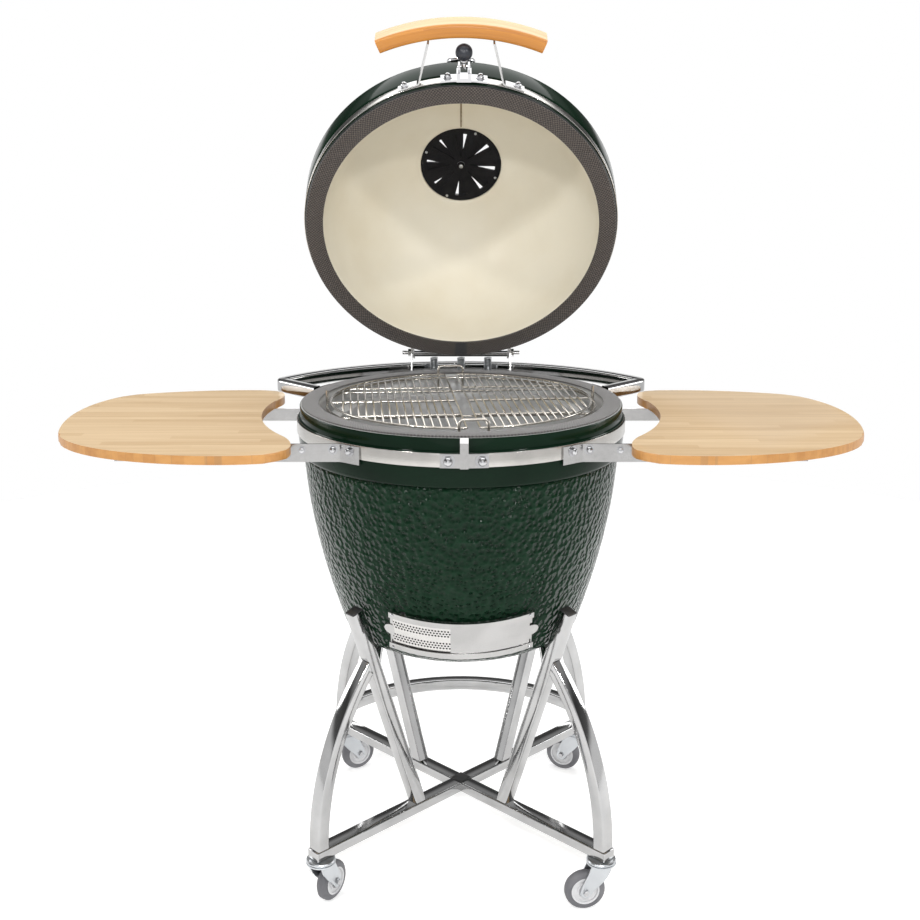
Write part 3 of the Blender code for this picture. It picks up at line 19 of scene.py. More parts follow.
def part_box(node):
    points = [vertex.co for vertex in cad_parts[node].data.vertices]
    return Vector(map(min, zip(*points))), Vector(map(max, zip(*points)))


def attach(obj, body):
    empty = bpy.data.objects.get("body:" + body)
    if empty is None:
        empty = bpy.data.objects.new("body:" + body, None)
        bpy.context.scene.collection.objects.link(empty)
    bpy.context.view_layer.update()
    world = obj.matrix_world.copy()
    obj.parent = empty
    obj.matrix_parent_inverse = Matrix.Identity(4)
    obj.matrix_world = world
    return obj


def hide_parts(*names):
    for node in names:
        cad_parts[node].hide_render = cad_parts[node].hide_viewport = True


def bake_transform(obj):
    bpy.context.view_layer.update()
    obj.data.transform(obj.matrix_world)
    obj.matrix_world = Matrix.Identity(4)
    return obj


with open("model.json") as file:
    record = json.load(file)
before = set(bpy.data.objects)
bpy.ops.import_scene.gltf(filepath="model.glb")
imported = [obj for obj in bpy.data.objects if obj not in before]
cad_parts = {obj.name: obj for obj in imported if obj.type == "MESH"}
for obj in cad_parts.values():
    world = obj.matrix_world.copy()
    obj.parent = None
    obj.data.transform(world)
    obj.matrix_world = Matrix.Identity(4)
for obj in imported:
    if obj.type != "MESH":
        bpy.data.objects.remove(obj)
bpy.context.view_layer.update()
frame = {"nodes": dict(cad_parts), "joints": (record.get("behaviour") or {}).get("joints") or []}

LOG = logging.getLogger("kamado")
Points = Sequence[Sequence[float]]


# ---------------------------------------- places
@dataclass(frozen=True)
class Frame:
    """Where the egg stands and how its lid hangs."""

    axis_y: float = -0.047
    rim: float = 0.900
    pin_y: float = 0.3121
    pin_above: float = 0.0325
    lid_open: float = 62.73

    def base(self) -> Matrix:
        """Carries what is drawn about the egg's axis to its place."""
        return Matrix.Translation((0, self.axis_y, 0))

    def lid(self) -> Matrix:
        """Carries what is drawn with the lid closed to where the open lid holds it."""
        pin = Vector((0, self.pin_y, self.rim + self.pin_above))
        turn = Matrix.Rotation(-math.radians(self.lid_open), 4, "X")
        return self.base() @ Matrix.Translation(pin) @ turn @ Matrix.Translation(-pin)


PLACE = Frame()
RIM = PLACE.rim


def around(radius: float, azimuth: float, height: float = 0.0) -> Vector:
    """The point at a radius and azimuth about the egg's axis."""
    angle = math.radians(azimuth)
    return Vector((radius * math.sin(angle), -radius * math.cos(angle), height))


def axes(origin: Sequence[float], x_axis: Sequence[float], y_axis: Sequence[float]) -> Matrix:
    """A placing matrix from an origin and two square axes."""
    x_axis, y_axis = Vector(x_axis), Vector(y_axis)
    return Matrix.Translation(origin) @ Matrix((x_axis, y_axis, x_axis.cross(y_axis))).transposed().to_4x4()


def facing(origin: Sequence[float], normal: Sequence[float]) -> Matrix:
    """A placing matrix whose Z runs along a normal."""
    return Matrix.Translation(origin) @ Vector(normal).to_track_quat("Z", "Y").to_matrix().to_4x4()


def bezier(start: Points, out_handle: Points, in_handle: Points, end: Points, count: int) -> list[tuple]:
    """Points along a cubic curve in a plane, both ends included."""
    points = []
    for index in range(count + 1):
        t = index / count
        weights = ((1 - t) ** 3, 3 * (1 - t) ** 2 * t, 3 * (1 - t) * t * t, t ** 3)
        corners = (start, out_handle, in_handle, end)
        points.append(tuple(sum(w * c[k] for w, c in zip(weights, corners)) for k in (0, 1)))
    return points


def arc(centre: Sequence[float], radius: float, start: float, end: float, count: int) -> list[tuple]:
    """Points of an arc in a plane, angles in degrees from +X."""
    turns = [math.radians(start + (end - start) * index / count) for index in range(count + 1)]
    return [(centre[0] + radius * math.cos(a), centre[1] + radius * math.sin(a)) for a in turns]


def rounded(width: float, height: float, radius: float, steps: int = 3) -> list[tuple]:
    """A rectangle with rounded corners, centred, anticlockwise."""
    points = []
    for sx, sy, start in ((1, 1, 0), (-1, 1, 90), (-1, -1, 180), (1, -1, 270)):
        centre = (sx * (width / 2 - radius), sy * (height / 2 - radius))
        points += arc(centre, radius, start, start + 90, steps)
    return points


# ---------------------------------------- finishes
class Surface:
    """A material with a Principled shader, its Object coordinates and a bump of its own."""

    def __init__(self, name: str, **sockets: object) -> None:
        """Make the material and set constants on the shader's own sockets."""
        self.material = bpy.data.materials.new(name)
        self.material.use_nodes = True
        self.tree = self.material.node_tree
        self.shader = self.tree.nodes["Principled BSDF"]
        self.coords = self.tree.nodes.new("ShaderNodeTexCoord")
        for key, value in sockets.items():
            self.shader.inputs[key.replace("_", " ")].default_value = value

    def node(self, kind: str, inputs: Optional[dict] = None, **settings: object) -> bpy.types.Node:
        """Add a node, with inputs that are values or other nodes' outputs.

        Args:
            kind: the node's type name.
            inputs: socket name or index to a value or an output.
            settings: properties of the node.

        Returns:
            The new node.
        """
        made = self.tree.nodes.new(kind)
        for key, value in settings.items():
            setattr(made, key, value)
        for key, value in (inputs or {}).items():
            self.join(value, made.inputs[key])
        return made

    def join(self, source: object, socket: bpy.types.NodeSocket) -> None:
        """Link an output to a socket, or set the socket's value."""
        if isinstance(source, bpy.types.NodeSocket):
            self.tree.links.new(source, socket)
        else:
            socket.default_value = source

    def group(self, tree: bpy.types.NodeTree, **inputs: object) -> bpy.types.Node:
        """Place a shared effect in this material with its own values."""
        made = self.node("ShaderNodeGroup", node_tree=tree)
        for key, value in inputs.items():
            self.join(value, made.inputs[key.replace("_", " ")])
        return made

    def ramp(self, mask: bpy.types.NodeSocket, low: Points, high: Points, start: float = 0.0,
             end: float = 1.0) -> bpy.types.NodeSocket:
        """A colour that runs from low to high as a mask goes from start to end."""
        made = self.node("ShaderNodeValToRGB", {"Fac": mask})
        first, last = made.color_ramp.elements
        first.position, last.position = start, end
        first.color, last.color = (*low, 1.0), (*high, 1.0)
        return made.outputs["Color"]

    def scale_to(self, mask: bpy.types.NodeSocket, low: float, high: float) -> bpy.types.NodeSocket:
        """A mask from 0 to 1 brought to a range of values."""
        return self.node("ShaderNodeMapRange",
                         {"Value": mask, "To Min": low, "To Max": high}).outputs["Result"]

    def mix(self, mask: object, one: object, two: object) -> bpy.types.NodeSocket:
        """A mix of two colours."""
        made = self.node("ShaderNodeMix", data_type="RGBA")
        for key, value in ((0, mask), (6, one), (7, two)):
            if isinstance(value, tuple) and len(value) == 3:
                value = (*value, 1.0)
            self.join(value, made.inputs[key])
        return made.outputs[2]

    def dress(self, colour: object = None, rough: object = None, height: object = None,
              depth: float = 0.0005, strength: float = 0.5) -> bpy.types.Material:
        """Feed the shader and give back the material.

        Args:
            colour: base colour output.
            rough: roughness output.
            height: height output for the bump.
            depth: how deep the bump is, in metres.
            strength: how strong the bump is.

        Returns:
            The finished material.
        """
        if colour is not None:
            self.join(colour, self.shader.inputs["Base Color"])
        if rough is not None:
            self.join(rough, self.shader.inputs["Roughness"])
        if height is not None:
            bump = self.node("ShaderNodeBump", {"Height": height, "Strength": strength, "Distance": depth})
            self.join(bump.outputs["Normal"], self.shader.inputs["Normal"])
        return self.material


class Effects:
    """Shared effects, each built once as a group of nodes."""

    def __init__(self) -> None:
        """Build the groups."""
        self.mottle = self._mottle()
        self.pebble = self._pebble()
        self.weave = self._weave()
        self.strips = self._strips()
        self.holes = self._holes()

    @staticmethod
    def _start(name: str, inputs: dict, outputs: Iterable[str]) -> tuple:
        """A new group with its sockets and its two end nodes."""
        tree = bpy.data.node_groups.new(name, "ShaderNodeTree")
        for key, value in inputs.items():
            kind = "NodeSocketVector" if value is None else "NodeSocketFloat"
            socket = tree.interface.new_socket(key, in_out="INPUT", socket_type=kind)
            if value is not None:
                socket.default_value = value
        for key in outputs:
            tree.interface.new_socket(key, in_out="OUTPUT", socket_type="NodeSocketFloat")
        return tree, tree.nodes.new("NodeGroupInput"), tree.nodes.new("NodeGroupOutput")

    @staticmethod
    def _maths(tree: bpy.types.NodeTree, operation: str, *values: object) -> bpy.types.NodeSocket:
        """One step of arithmetic inside a group."""
        made = tree.nodes.new("ShaderNodeMath")
        made.operation = operation
        for socket, value in zip(made.inputs, values):
            if isinstance(value, bpy.types.NodeSocket):
                tree.links.new(value, socket)
            else:
                socket.default_value = value
        return made.outputs[0]

    def _mottle(self) -> bpy.types.NodeTree:
        """Broad and fine clouding, for stains, handling marks and uneven glaze."""
        tree, start, end = self._start("mottle", {"Vector": None, "Scale": 8.0, "Detail": 5.0},
                                       ("Broad", "Fine"))
        link = tree.links.new
        for key, factor in (("Broad", 1.0), ("Fine", 9.0)):
            noise = tree.nodes.new("ShaderNodeTexNoise")
            link(start.outputs["Vector"], noise.inputs["Vector"])
            link(self._maths(tree, "MULTIPLY", start.outputs["Scale"], factor), noise.inputs["Scale"])
            link(start.outputs["Detail"], noise.inputs["Detail"])
            link(noise.outputs["Fac"], end.inputs[key])
        return tree

    def _pebble(self) -> bpy.types.NodeTree:
        """Small round pits between raised ridges, only below a height."""
        tree, start, end = self._start("pebble", {"Vector": None, "Scale": 100.0, "Top": 0.81, "Warp": 0.35},
                                       ("Height", "Mask"))
        link = tree.links.new
        cells = tree.nodes.new("ShaderNodeTexVoronoi")
        cells.feature = "SMOOTH_F1"
        cells.inputs["Smoothness"].default_value = 0.35
        noise = tree.nodes.new("ShaderNodeTexNoise")
        link(start.outputs["Vector"], noise.inputs["Vector"])
        noise.inputs["Scale"].default_value = 55.0
        bend = tree.nodes.new("ShaderNodeVectorMath")
        bend.operation = "MULTIPLY_ADD"
        link(noise.outputs["Color"], bend.inputs[0])
        link(self._maths(tree, "DIVIDE", start.outputs["Warp"], start.outputs["Scale"]), bend.inputs[1])
        link(start.outputs["Vector"], bend.inputs[2])
        link(bend.outputs[0], cells.inputs["Vector"])
        link(start.outputs["Scale"], cells.inputs["Scale"])
        split = tree.nodes.new("ShaderNodeSeparateXYZ")
        link(start.outputs["Vector"], split.inputs[0])
        below = self._maths(tree, "SUBTRACT", start.outputs["Top"], split.outputs["Z"])
        mask = tree.nodes.new("ShaderNodeMapRange")
        mask.inputs["From Max"].default_value = 0.006
        link(below, mask.inputs["Value"])
        link(self._maths(tree, "MULTIPLY", cells.outputs["Distance"], mask.outputs["Result"]),
             end.inputs["Height"])
        link(mask.outputs["Result"], end.inputs["Mask"])
        return tree

    def _weave(self) -> bpy.types.NodeTree:
        """A plain weave that follows a piece's own map."""
        tree, start, end = self._start("weave", {"Vector": None, "Pitch": 0.0030}, ("Height",))
        split = tree.nodes.new("ShaderNodeSeparateXYZ")
        tree.links.new(start.outputs["Vector"], split.inputs[0])
        waves = []
        for key in ("X", "Y"):
            turn = self._maths(tree, "MULTIPLY", split.outputs[key], math.pi)
            waves.append(self._maths(tree, "SINE", self._maths(tree, "DIVIDE", turn, start.outputs["Pitch"])))
        product = self._maths(tree, "MULTIPLY", *waves)
        tree.links.new(self._maths(tree, "MULTIPLY_ADD", product, 0.5, 0.5), end.inputs["Height"])
        return tree

    def _strips(self) -> bpy.types.NodeTree:
        """Glued strips of bamboo: a tone for each strip, its seams, and the grain along it."""
        tree, start, end = self._start("strips", {"Vector": None, "Width": 0.02, "Length": 0.42},
                                       ("Tone", "Seam", "Grain"))
        link = tree.links.new
        split = tree.nodes.new("ShaderNodeSeparateXYZ")
        link(start.outputs["Vector"], split.inputs[0])
        across = self._maths(tree, "DIVIDE", split.outputs["Y"], start.outputs["Width"])
        row = self._maths(tree, "FLOOR", across)
        slide = self._maths(tree, "MULTIPLY", row, 0.371)
        along = self._maths(tree, "ADD",
                            self._maths(tree, "DIVIDE", split.outputs["X"], start.outputs["Length"]), slide)
        cell = tree.nodes.new("ShaderNodeCombineXYZ")
        link(self._maths(tree, "FLOOR", along), cell.inputs["X"])
        link(row, cell.inputs["Y"])
        white = tree.nodes.new("ShaderNodeTexWhiteNoise")
        link(cell.outputs[0], white.inputs["Vector"])
        link(white.outputs["Value"], end.inputs["Tone"])
        edge = self._maths(tree, "PINGPONG", across, 0.5)
        link(self._maths(tree, "LESS_THAN", edge, 0.018), end.inputs["Seam"])
        stretch = tree.nodes.new("ShaderNodeMapping")
        stretch.inputs["Scale"].default_value = (6.0, 230.0, 60.0)
        link(start.outputs["Vector"], stretch.inputs["Vector"])
        fibre = tree.nodes.new("ShaderNodeTexNoise")
        fibre.inputs["Scale"].default_value = 1.0
        fibre.inputs["Detail"].default_value = 6.0
        link(stretch.outputs[0], fibre.inputs["Vector"])
        link(fibre.outputs["Fac"], end.inputs["Grain"])
        return tree

    def _holes(self) -> bpy.types.NodeTree:
        """Rows of round hole spots on a piece's own map, in two bands, where the punched holes are painted
        dark as shade.
        """
        tree, start, end = self._start("holes", {"Vector": None, "Pitch": 0.0056, "Radius": 0.0019,
                                                 "Middle": 0.0140, "Half": 0.0084}, ("Mask",))
        split = tree.nodes.new("ShaderNodeSeparateXYZ")
        tree.links.new(start.outputs["Vector"], split.inputs[0])
        squares = []
        row = self._maths(tree, "FLOOR",
                          self._maths(tree, "DIVIDE", split.outputs["Y"], start.outputs["Pitch"]))
        shift = self._maths(tree, "MULTIPLY", row, 0.5)
        for key in ("X", "Y"):
            cell = self._maths(tree, "DIVIDE", split.outputs[key], start.outputs["Pitch"])
            cell = self._maths(tree, "ADD", cell, shift) if key == "X" else cell
            off = self._maths(tree, "SUBTRACT", self._maths(tree, "FRACT", cell), 0.5)
            squares.append(self._maths(tree, "POWER",
                                       self._maths(tree, "MULTIPLY", off, start.outputs["Pitch"]), 2.0))
        reach = self._maths(tree, "SQRT", self._maths(tree, "ADD", *squares))
        hole = self._maths(tree, "LESS_THAN", reach, start.outputs["Radius"])
        level = self._maths(tree, "ABSOLUTE", split.outputs["Y"])
        off = self._maths(tree, "ABSOLUTE", self._maths(tree, "SUBTRACT", level, start.outputs["Middle"]))
        band = self._maths(tree, "LESS_THAN", off, start.outputs["Half"])
        tree.links.new(self._maths(tree, "MULTIPLY", hole, band), end.inputs["Mask"])
        return tree


@dataclass(frozen=True)
class Metal:
    """A metal: its colour, how rough it is at its smoothest and roughest, and its brushing."""

    name: str
    colour: tuple
    smooth: float
    dull: float
    brush: tuple = (40.0, 40.0, 900.0)
    depth: float = 0.00003

    def build(self, effects: Effects) -> bpy.types.Material:
        """Make the metal's material."""
        made = Surface(self.name, Metallic=1.0)
        where = made.coords.outputs["Object"]
        marks = made.group(effects.mottle, Vector=where, Scale=14.0)
        lines = made.node("ShaderNodeMapping", {"Vector": where, "Scale": self.brush})
        brushed = made.node("ShaderNodeTexNoise", {"Vector": lines.outputs[0], "Scale": 1.0, "Detail": 4.0})
        dark = tuple(0.86 * c for c in self.colour)
        colour = made.ramp(marks.outputs["Broad"], dark, self.colour, 0.35, 0.6)
        rough = made.scale_to(marks.outputs["Fine"], self.smooth, self.dull)
        return made.dress(colour, rough, brushed.outputs["Fac"], self.depth, 0.25)


@dataclass(frozen=True)
class Glaze:
    """Deep green glaze, pitted below a height, with the ridges between the pits painted lighter as highlight
    specks.
    """

    name: str = "green_glaze"
    colour: tuple = (0.0018, 0.0080, 0.0038)
    thin: tuple = (0.0042, 0.0165, 0.0080)
    top: float = RIM - 0.0905
    pitted: bool = True

    def build(self, effects: Effects) -> bpy.types.Material:
        """Make the glaze's material."""
        made = Surface(self.name, Roughness=0.12, Specular_IOR_Level=0.09)
        where = made.coords.outputs["Object"]
        clouds = made.group(effects.mottle, Vector=where, Scale=7.0)
        colour = made.ramp(clouds.outputs["Broad"], self.colour, self.thin, 0.3, 0.75)
        rough = made.scale_to(clouds.outputs["Fine"], 0.07, 0.13)
        if not self.pitted:
            return made.dress(colour, rough, clouds.outputs["Fine"], 0.0003, 0.12)
        pits = made.group(effects.pebble, Vector=where, Scale=104.0, Top=self.top)
        # The ridges between the pits are mixed towards a colour 1.6 times the thin glaze: painted highlight
        # specks on the pebbling.
        colour = made.mix(made.scale_to(pits.outputs["Height"], 0.0, 1.0), colour,
                          tuple(1.6 * c for c in self.thin))
        return made.dress(colour, rough, pits.outputs["Height"], 0.0062, 1.0)


@dataclass(frozen=True)
class Clay:
    """Unglazed or matt-washed ceramic."""

    name: str
    colour: tuple
    stain: tuple
    rough: float = 0.6

    def build(self, effects: Effects) -> bpy.types.Material:
        """Make the clay's material."""
        made = Surface(self.name, Roughness=self.rough)
        marks = made.group(effects.mottle, Vector=made.coords.outputs["Object"], Scale=6.0)
        colour = made.ramp(marks.outputs["Broad"], self.stain, self.colour, 0.25, 0.6)
        rough = made.scale_to(marks.outputs["Fine"], self.rough - 0.12, self.rough + 0.1)
        return made.dress(colour, rough, marks.outputs["Fine"], 0.0006, 0.3)


@dataclass(frozen=True)
class Felt:
    """Woven felt that follows its ring, the weave's hollows painted darker as shade between the threads."""

    name: str
    colour: tuple
    light: tuple

    def build(self, effects: Effects) -> bpy.types.Material:
        """Make the felt's material."""
        made = Surface(self.name, Roughness=0.95, Sheen_Weight=0.3, Sheen_Roughness=0.5)
        weave = made.group(effects.weave, Vector=made.coords.outputs["UV"])
        fuzz = made.group(effects.mottle, Vector=made.coords.outputs["Object"], Scale=60.0)
        # Light only where the weave is high and the fine clouding is high: the hollows between threads are
        # painted shade, and the clouding gives random fibre tone.
        both = made.node("ShaderNodeMath", {0: weave.outputs["Height"], 1: fuzz.outputs["Fine"]},
                         operation="MULTIPLY")
        colour = made.ramp(both.outputs[0], self.colour, self.light, 0.05, 0.6)
        return made.dress(colour, None, weave.outputs["Height"], 0.0011, 0.9)


@dataclass(frozen=True)
class Bamboo:
    """Oiled bamboo made of glued strips."""

    name: str
    light: tuple = (0.64, 0.475, 0.285)
    dark: tuple = (0.46, 0.30, 0.145)
    seam: tuple = (0.30, 0.165, 0.065)
    width: float = 0.021
    from_map: bool = False

    def build(self, effects: Effects) -> bpy.types.Material:
        """Make the bamboo's material."""
        made = Surface(self.name, Roughness=0.42, Coat_Weight=0.12, Coat_Roughness=0.25)
        where = made.coords.outputs["UV" if self.from_map else "Object"]
        wood = made.group(effects.strips, Vector=where, Width=self.width)
        tone = made.ramp(wood.outputs["Tone"], self.dark, self.light, -0.35, 1.0)
        grain = made.ramp(wood.outputs["Grain"], self.dark, self.light, 0.30, 0.62)
        colour = made.mix(0.5, tone, grain)
        colour = made.mix(made.scale_to(wood.outputs["Seam"], 0.0, 0.45), colour, self.seam)
        rough = made.scale_to(wood.outputs["Grain"], 0.34, 0.52)
        return made.dress(colour, rough, wood.outputs["Grain"], 0.0003, 0.25)


@dataclass(frozen=True)
class Matt:
    """Paint, plastic or rubber: a colour with slight clouding and a fine grain."""

    name: str
    colour: tuple
    worn: tuple
    rough: float
    grain: float = 0.0002

    def build(self, effects: Effects) -> bpy.types.Material:
        """Make the material."""
        made = Surface(self.name, Roughness=self.rough)
        marks = made.group(effects.mottle, Vector=made.coords.outputs["Object"], Scale=30.0)
        colour = made.ramp(marks.outputs["Broad"], self.colour, self.worn, 0.4, 0.8)
        rough = made.scale_to(marks.outputs["Fine"], self.rough - 0.08, self.rough + 0.12)
        return made.dress(colour, rough, marks.outputs["Fine"], self.grain, 0.4)


@dataclass(frozen=True)
class Punched:
    """Polished sheet with two bands of punched holes, painted near-black as the shade seen through them; the
    sheet itself stays solid.
    """

    name: str = "punched_steel"

    def build(self, effects: Effects) -> bpy.types.Material:
        """Make the punched sheet's material."""
        made = Surface(self.name)
        marks = made.group(effects.mottle, Vector=made.coords.outputs["Object"], Scale=20.0)
        holes = made.group(effects.holes, Vector=made.coords.outputs["UV"])
        steel = made.ramp(marks.outputs["Broad"], (0.52, 0.51, 0.50), (0.66, 0.65, 0.63))
        # The holes are not cut: they are painted near-black, matt and not metallic, as painted shade for the
        # dark seen through the openings.
        colour = made.mix(holes.outputs["Mask"], steel, (0.006, 0.006, 0.006))
        made.join(made.scale_to(holes.outputs["Mask"], 1.0, 0.0), made.shader.inputs["Metallic"])
        rough = made.scale_to(holes.outputs["Mask"], 0.22, 0.9)
        return made.dress(colour, rough)


class Palette:
    """Every finish of the grill, built once."""

    def __init__(self) -> None:
        """Build the shared effects and the materials."""
        fx = Effects()
        self.glaze = Glaze().build(fx)
        self.smooth_glaze = Glaze(name="smooth_green_glaze", pitted=False).build(fx)
        self.cream = Clay("cream_inside", (0.74, 0.70, 0.59), (0.68, 0.625, 0.50), 0.45).build(fx)
        self.rim = Clay("bare_rim", (0.40, 0.40, 0.39), (0.30, 0.30, 0.29)).build(fx)
        self.fire_clay = Clay("fire_clay", (0.56, 0.56, 0.56), (0.42, 0.42, 0.42)).build(fx)
        self.lid_felt = Felt("lid_felt", (0.012, 0.010, 0.009), (0.120, 0.098, 0.083)).build(fx)
        self.base_felt = Felt("base_felt", (0.030, 0.028, 0.027), (0.17, 0.16, 0.155)).build(fx)
        self.lap = Felt("lapped_felt", (0.010, 0.010, 0.011), (0.040, 0.040, 0.042)).build(fx)
        self.vent = Matt("vent_enamel", (0.006, 0.006, 0.007), (0.012, 0.012, 0.014), 0.16, 0.0002).build(fx)
        self.steel = Metal("polished_steel", (0.48, 0.475, 0.47), 0.14, 0.28).build(fx)
        self.tube = Metal("stand_steel", (0.47, 0.47, 0.47), 0.05, 0.14, (30.0, 30.0, 30.0)).build(fx)
        self.band = Metal("band_steel", (0.50, 0.485, 0.46), 0.14, 0.28, (4.0, 4.0, 1400.0)).build(fx)
        self.wire = Metal("grate_steel", (0.60, 0.57, 0.52), 0.14, 0.28).build(fx)
        self.chrome = Metal("bright_fittings", (0.52, 0.52, 0.53), 0.06, 0.16, (20.0, 20.0, 20.0)).build(fx)
        self.zinc = Metal("zinc_plate", (0.56, 0.58, 0.60), 0.22, 0.40, (60.0, 60.0, 60.0)).build(fx)
        self.punched = Punched().build(fx)
        self.brass = Metal("probe_brass", (0.30, 0.25, 0.18), 0.22, 0.36).build(fx)
        self.knob = Matt("knob_black", (0.012, 0.014, 0.020), (0.020, 0.022, 0.030), 0.34, 0.00005).build(fx)
        self.iron = Matt("black_iron", (0.010, 0.010, 0.011), (0.022, 0.022, 0.024), 0.42, 0.0006).build(fx)
        self.black = Matt("black_caps", (0.012, 0.012, 0.013), (0.03, 0.03, 0.03), 0.45).build(fx)
        self.tyre = Matt("grey_tyre", (0.12, 0.12, 0.13), (0.19, 0.19, 0.20), 0.62).build(fx)
        self.hub = Matt("pale_hub", (0.62, 0.62, 0.63), (0.50, 0.50, 0.51), 0.40).build(fx)
        self.dial = Matt("dial_face", (0.80, 0.79, 0.76), (0.74, 0.73, 0.70), 0.45).build(fx)
        self.bamboo = Bamboo("shelf_bamboo").build(fx)
        self.bamboo_edge = Bamboo("shelf_edge", (0.52, 0.26, 0.075), (0.38, 0.165, 0.04),
                                  width=0.005).build(fx)
        self.grip = Bamboo("grip_bamboo", (0.60, 0.43, 0.22), (0.44, 0.28, 0.11), width=0.006,
                           from_map=True).build(fx)
        self.grip_under = Bamboo("grip_underside", (0.52, 0.215, 0.030), (0.36, 0.125, 0.014), width=0.004,
                                 from_map=True).build(fx)


# ---------------------------------------- shapes
def enter(name: str, data: bpy.types.ID) -> bpy.types.Object:
    """A new object in the scene."""
    made = bpy.data.objects.new(name, data)
    bpy.context.scene.collection.objects.link(made)
    return made


def evaluated(holder: bpy.types.Object) -> bpy.types.Mesh:
    """A plain mesh of an object as its modifiers leave it."""
    return bpy.data.meshes.new_from_object(holder.evaluated_get(bpy.context.evaluated_depsgraph_get()))


class Workshop:
    """Makes meshes, always with the piece at the origin and its place in the mesh."""

    def __init__(self, palette: Palette) -> None:
        """Keep the finishes."""
        self.palette = palette

    def piece(self, name: str, shape: bmesh.types.BMesh, materials: Sequence[bpy.types.Material],
              place: Matrix = Matrix(), sharp: float = 32.0) -> bpy.types.Object:
        """Turn a bmesh into a placed, smooth-shaded piece.

        Args:
            name: the piece's name.
            shape: its geometry, which is used up.
            materials: its finishes, by face index.
            place: carries it to its place.
            sharp: edges over this angle stay sharp, in degrees.

        Returns:
            The new object.
        """
        bmesh.ops.remove_doubles(shape, verts=shape.verts, dist=1e-6)
        bmesh.ops.recalc_face_normals(shape, faces=shape.faces)
        mesh = bpy.data.meshes.new(name)
        shape.to_mesh(mesh)
        shape.free()
        mesh.transform(place)
        for material in materials:
            mesh.materials.append(material)
        mesh.shade_smooth()
        mesh.set_sharp_from_angle(angle=math.radians(sharp))
        return enter(name, mesh)

    def merge(self, name: str, parts: Sequence[bpy.types.Object]) -> bpy.types.Object:
        """Gather several objects into one piece, keeping their finishes and maps."""
        shape = bmesh.new()
        materials: list = []
        for part in parts:
            offset = {}
            for index, material in enumerate(part.data.materials):
                if material not in materials:
                    materials.append(material)
                offset[index] = materials.index(material)
            first = len(shape.faces)
            shape.from_mesh(part.data)
            shape.faces.ensure_lookup_table()
            for face in shape.faces[first:]:
                face.material_index = offset.get(face.material_index, 0)
        mesh = bpy.data.meshes.new(name)
        shape.to_mesh(mesh)
        shape.free()
        for material in materials:
            mesh.materials.append(material)
        for part in parts:
            bpy.data.objects.remove(part, do_unlink=True)
        return enter(name, mesh)

    def revolve(self, name: str, profile: Points, zones: Sequence[tuple], place: Matrix = Matrix(),
                steps: int = 96, closed: bool = True, sharp: float = 32.0) -> bpy.types.Object:
        """A turned piece.

        Args:
            name: the piece's name.
            profile: (radius, height) points.
            zones: (first segment, material) in order along the profile.
            place: carries it to its place.
            steps: facets round.
            closed: join the last point to the first.
            sharp: edges over this angle stay sharp.

        Returns:
            The new object, with a map of arc length by profile length.
        """
        shape = bmesh.new()
        layer = shape.loops.layers.uv.new("map")
        rings = []
        for radius, height in profile:
            if radius < 1e-7:
                pole = shape.verts.new((0, 0, height))
                rings.append([pole] * steps)
            else:
                rings.append([shape.verts.new((radius * math.cos(2 * math.pi * i / steps),
                                               radius * math.sin(2 * math.pi * i / steps), height))
                              for i in range(steps)])
        lengths = [0.0]
        for one, two in zip(profile, profile[1:]):
            lengths.append(lengths[-1] + math.dist(one, two))
        widest = max(p[0] for p in profile)
        count = len(profile) if closed else len(profile) - 1
        for index in range(count):
            after = (index + 1) % len(profile)
            which = max(i for i, (first, _) in enumerate(zones) if first <= index)
            top, low = lengths[index], lengths[index] + math.dist(profile[index], profile[after])
            for i in range(steps):
                j = (i + 1) % steps
                ring = [(rings[index][i], i, top), (rings[index][j], i + 1, top),
                        (rings[after][j], i + 1, low), (rings[after][i], i, low)]
                corners = []
                for item in ring:
                    if item[0] not in [c[0] for c in corners]:
                        corners.append(item)
                if len(corners) < 3:
                    continue
                face = shape.faces.new([c[0] for c in corners])
                face.material_index = which
                for loop, corner in zip(face.loops, corners):
                    loop[layer].uv = (widest * 2 * math.pi * corner[1] / steps, corner[2])
        return self.piece(name, shape, [m for _, m in zones], place, sharp)

    def loft(self, name: str, rings: Sequence[Sequence[Vector]], material: bpy.types.Material,
             place: Matrix = Matrix(), ends: bool = True, loop: bool = False,
             paint: Optional[Callable[[Vector], int]] = None, extra: Sequence[bpy.types.Material] = (),
             sharp: float = 32.0) -> bpy.types.Object:
        """A skin through rings of points, with a map of length along by length round."""
        shape = bmesh.new()
        layer = shape.loops.layers.uv.new("map")
        corners = [[shape.verts.new(point) for point in ring] for ring in rings]
        along = [0.0]
        for one, two in zip(rings, rings[1:]):
            along.append(along[-1] + (two[0] - one[0]).length)
        around_ring = [0.0]
        first = rings[0]
        for index in range(len(first)):
            around_ring.append(around_ring[-1] + (first[(index + 1) % len(first)] - first[index]).length)
        count = len(rings) if loop else len(rings) - 1
        for row in range(count):
            nxt = (row + 1) % len(rings)
            for index in range(len(first)):
                after = (index + 1) % len(first)
                face = shape.faces.new((corners[row][index], corners[row][after], corners[nxt][after],
                                        corners[nxt][index]))
                values = ((along[row], around_ring[index]), (along[row], around_ring[index + 1]),
                          (along[min(row + 1, len(along) - 1)], around_ring[index + 1]),
                          (along[min(row + 1, len(along) - 1)], around_ring[index]))
                for corner, value in zip(face.loops, values):
                    corner[layer].uv = value
                if paint is not None:
                    face.normal_update()
                    face.material_index = paint(face.calc_center_median())
        if ends and not loop:
            shape.faces.new(corners[0])
            shape.faces.new(corners[-1])
        return self.piece(name, shape, [material, *extra], place, sharp)

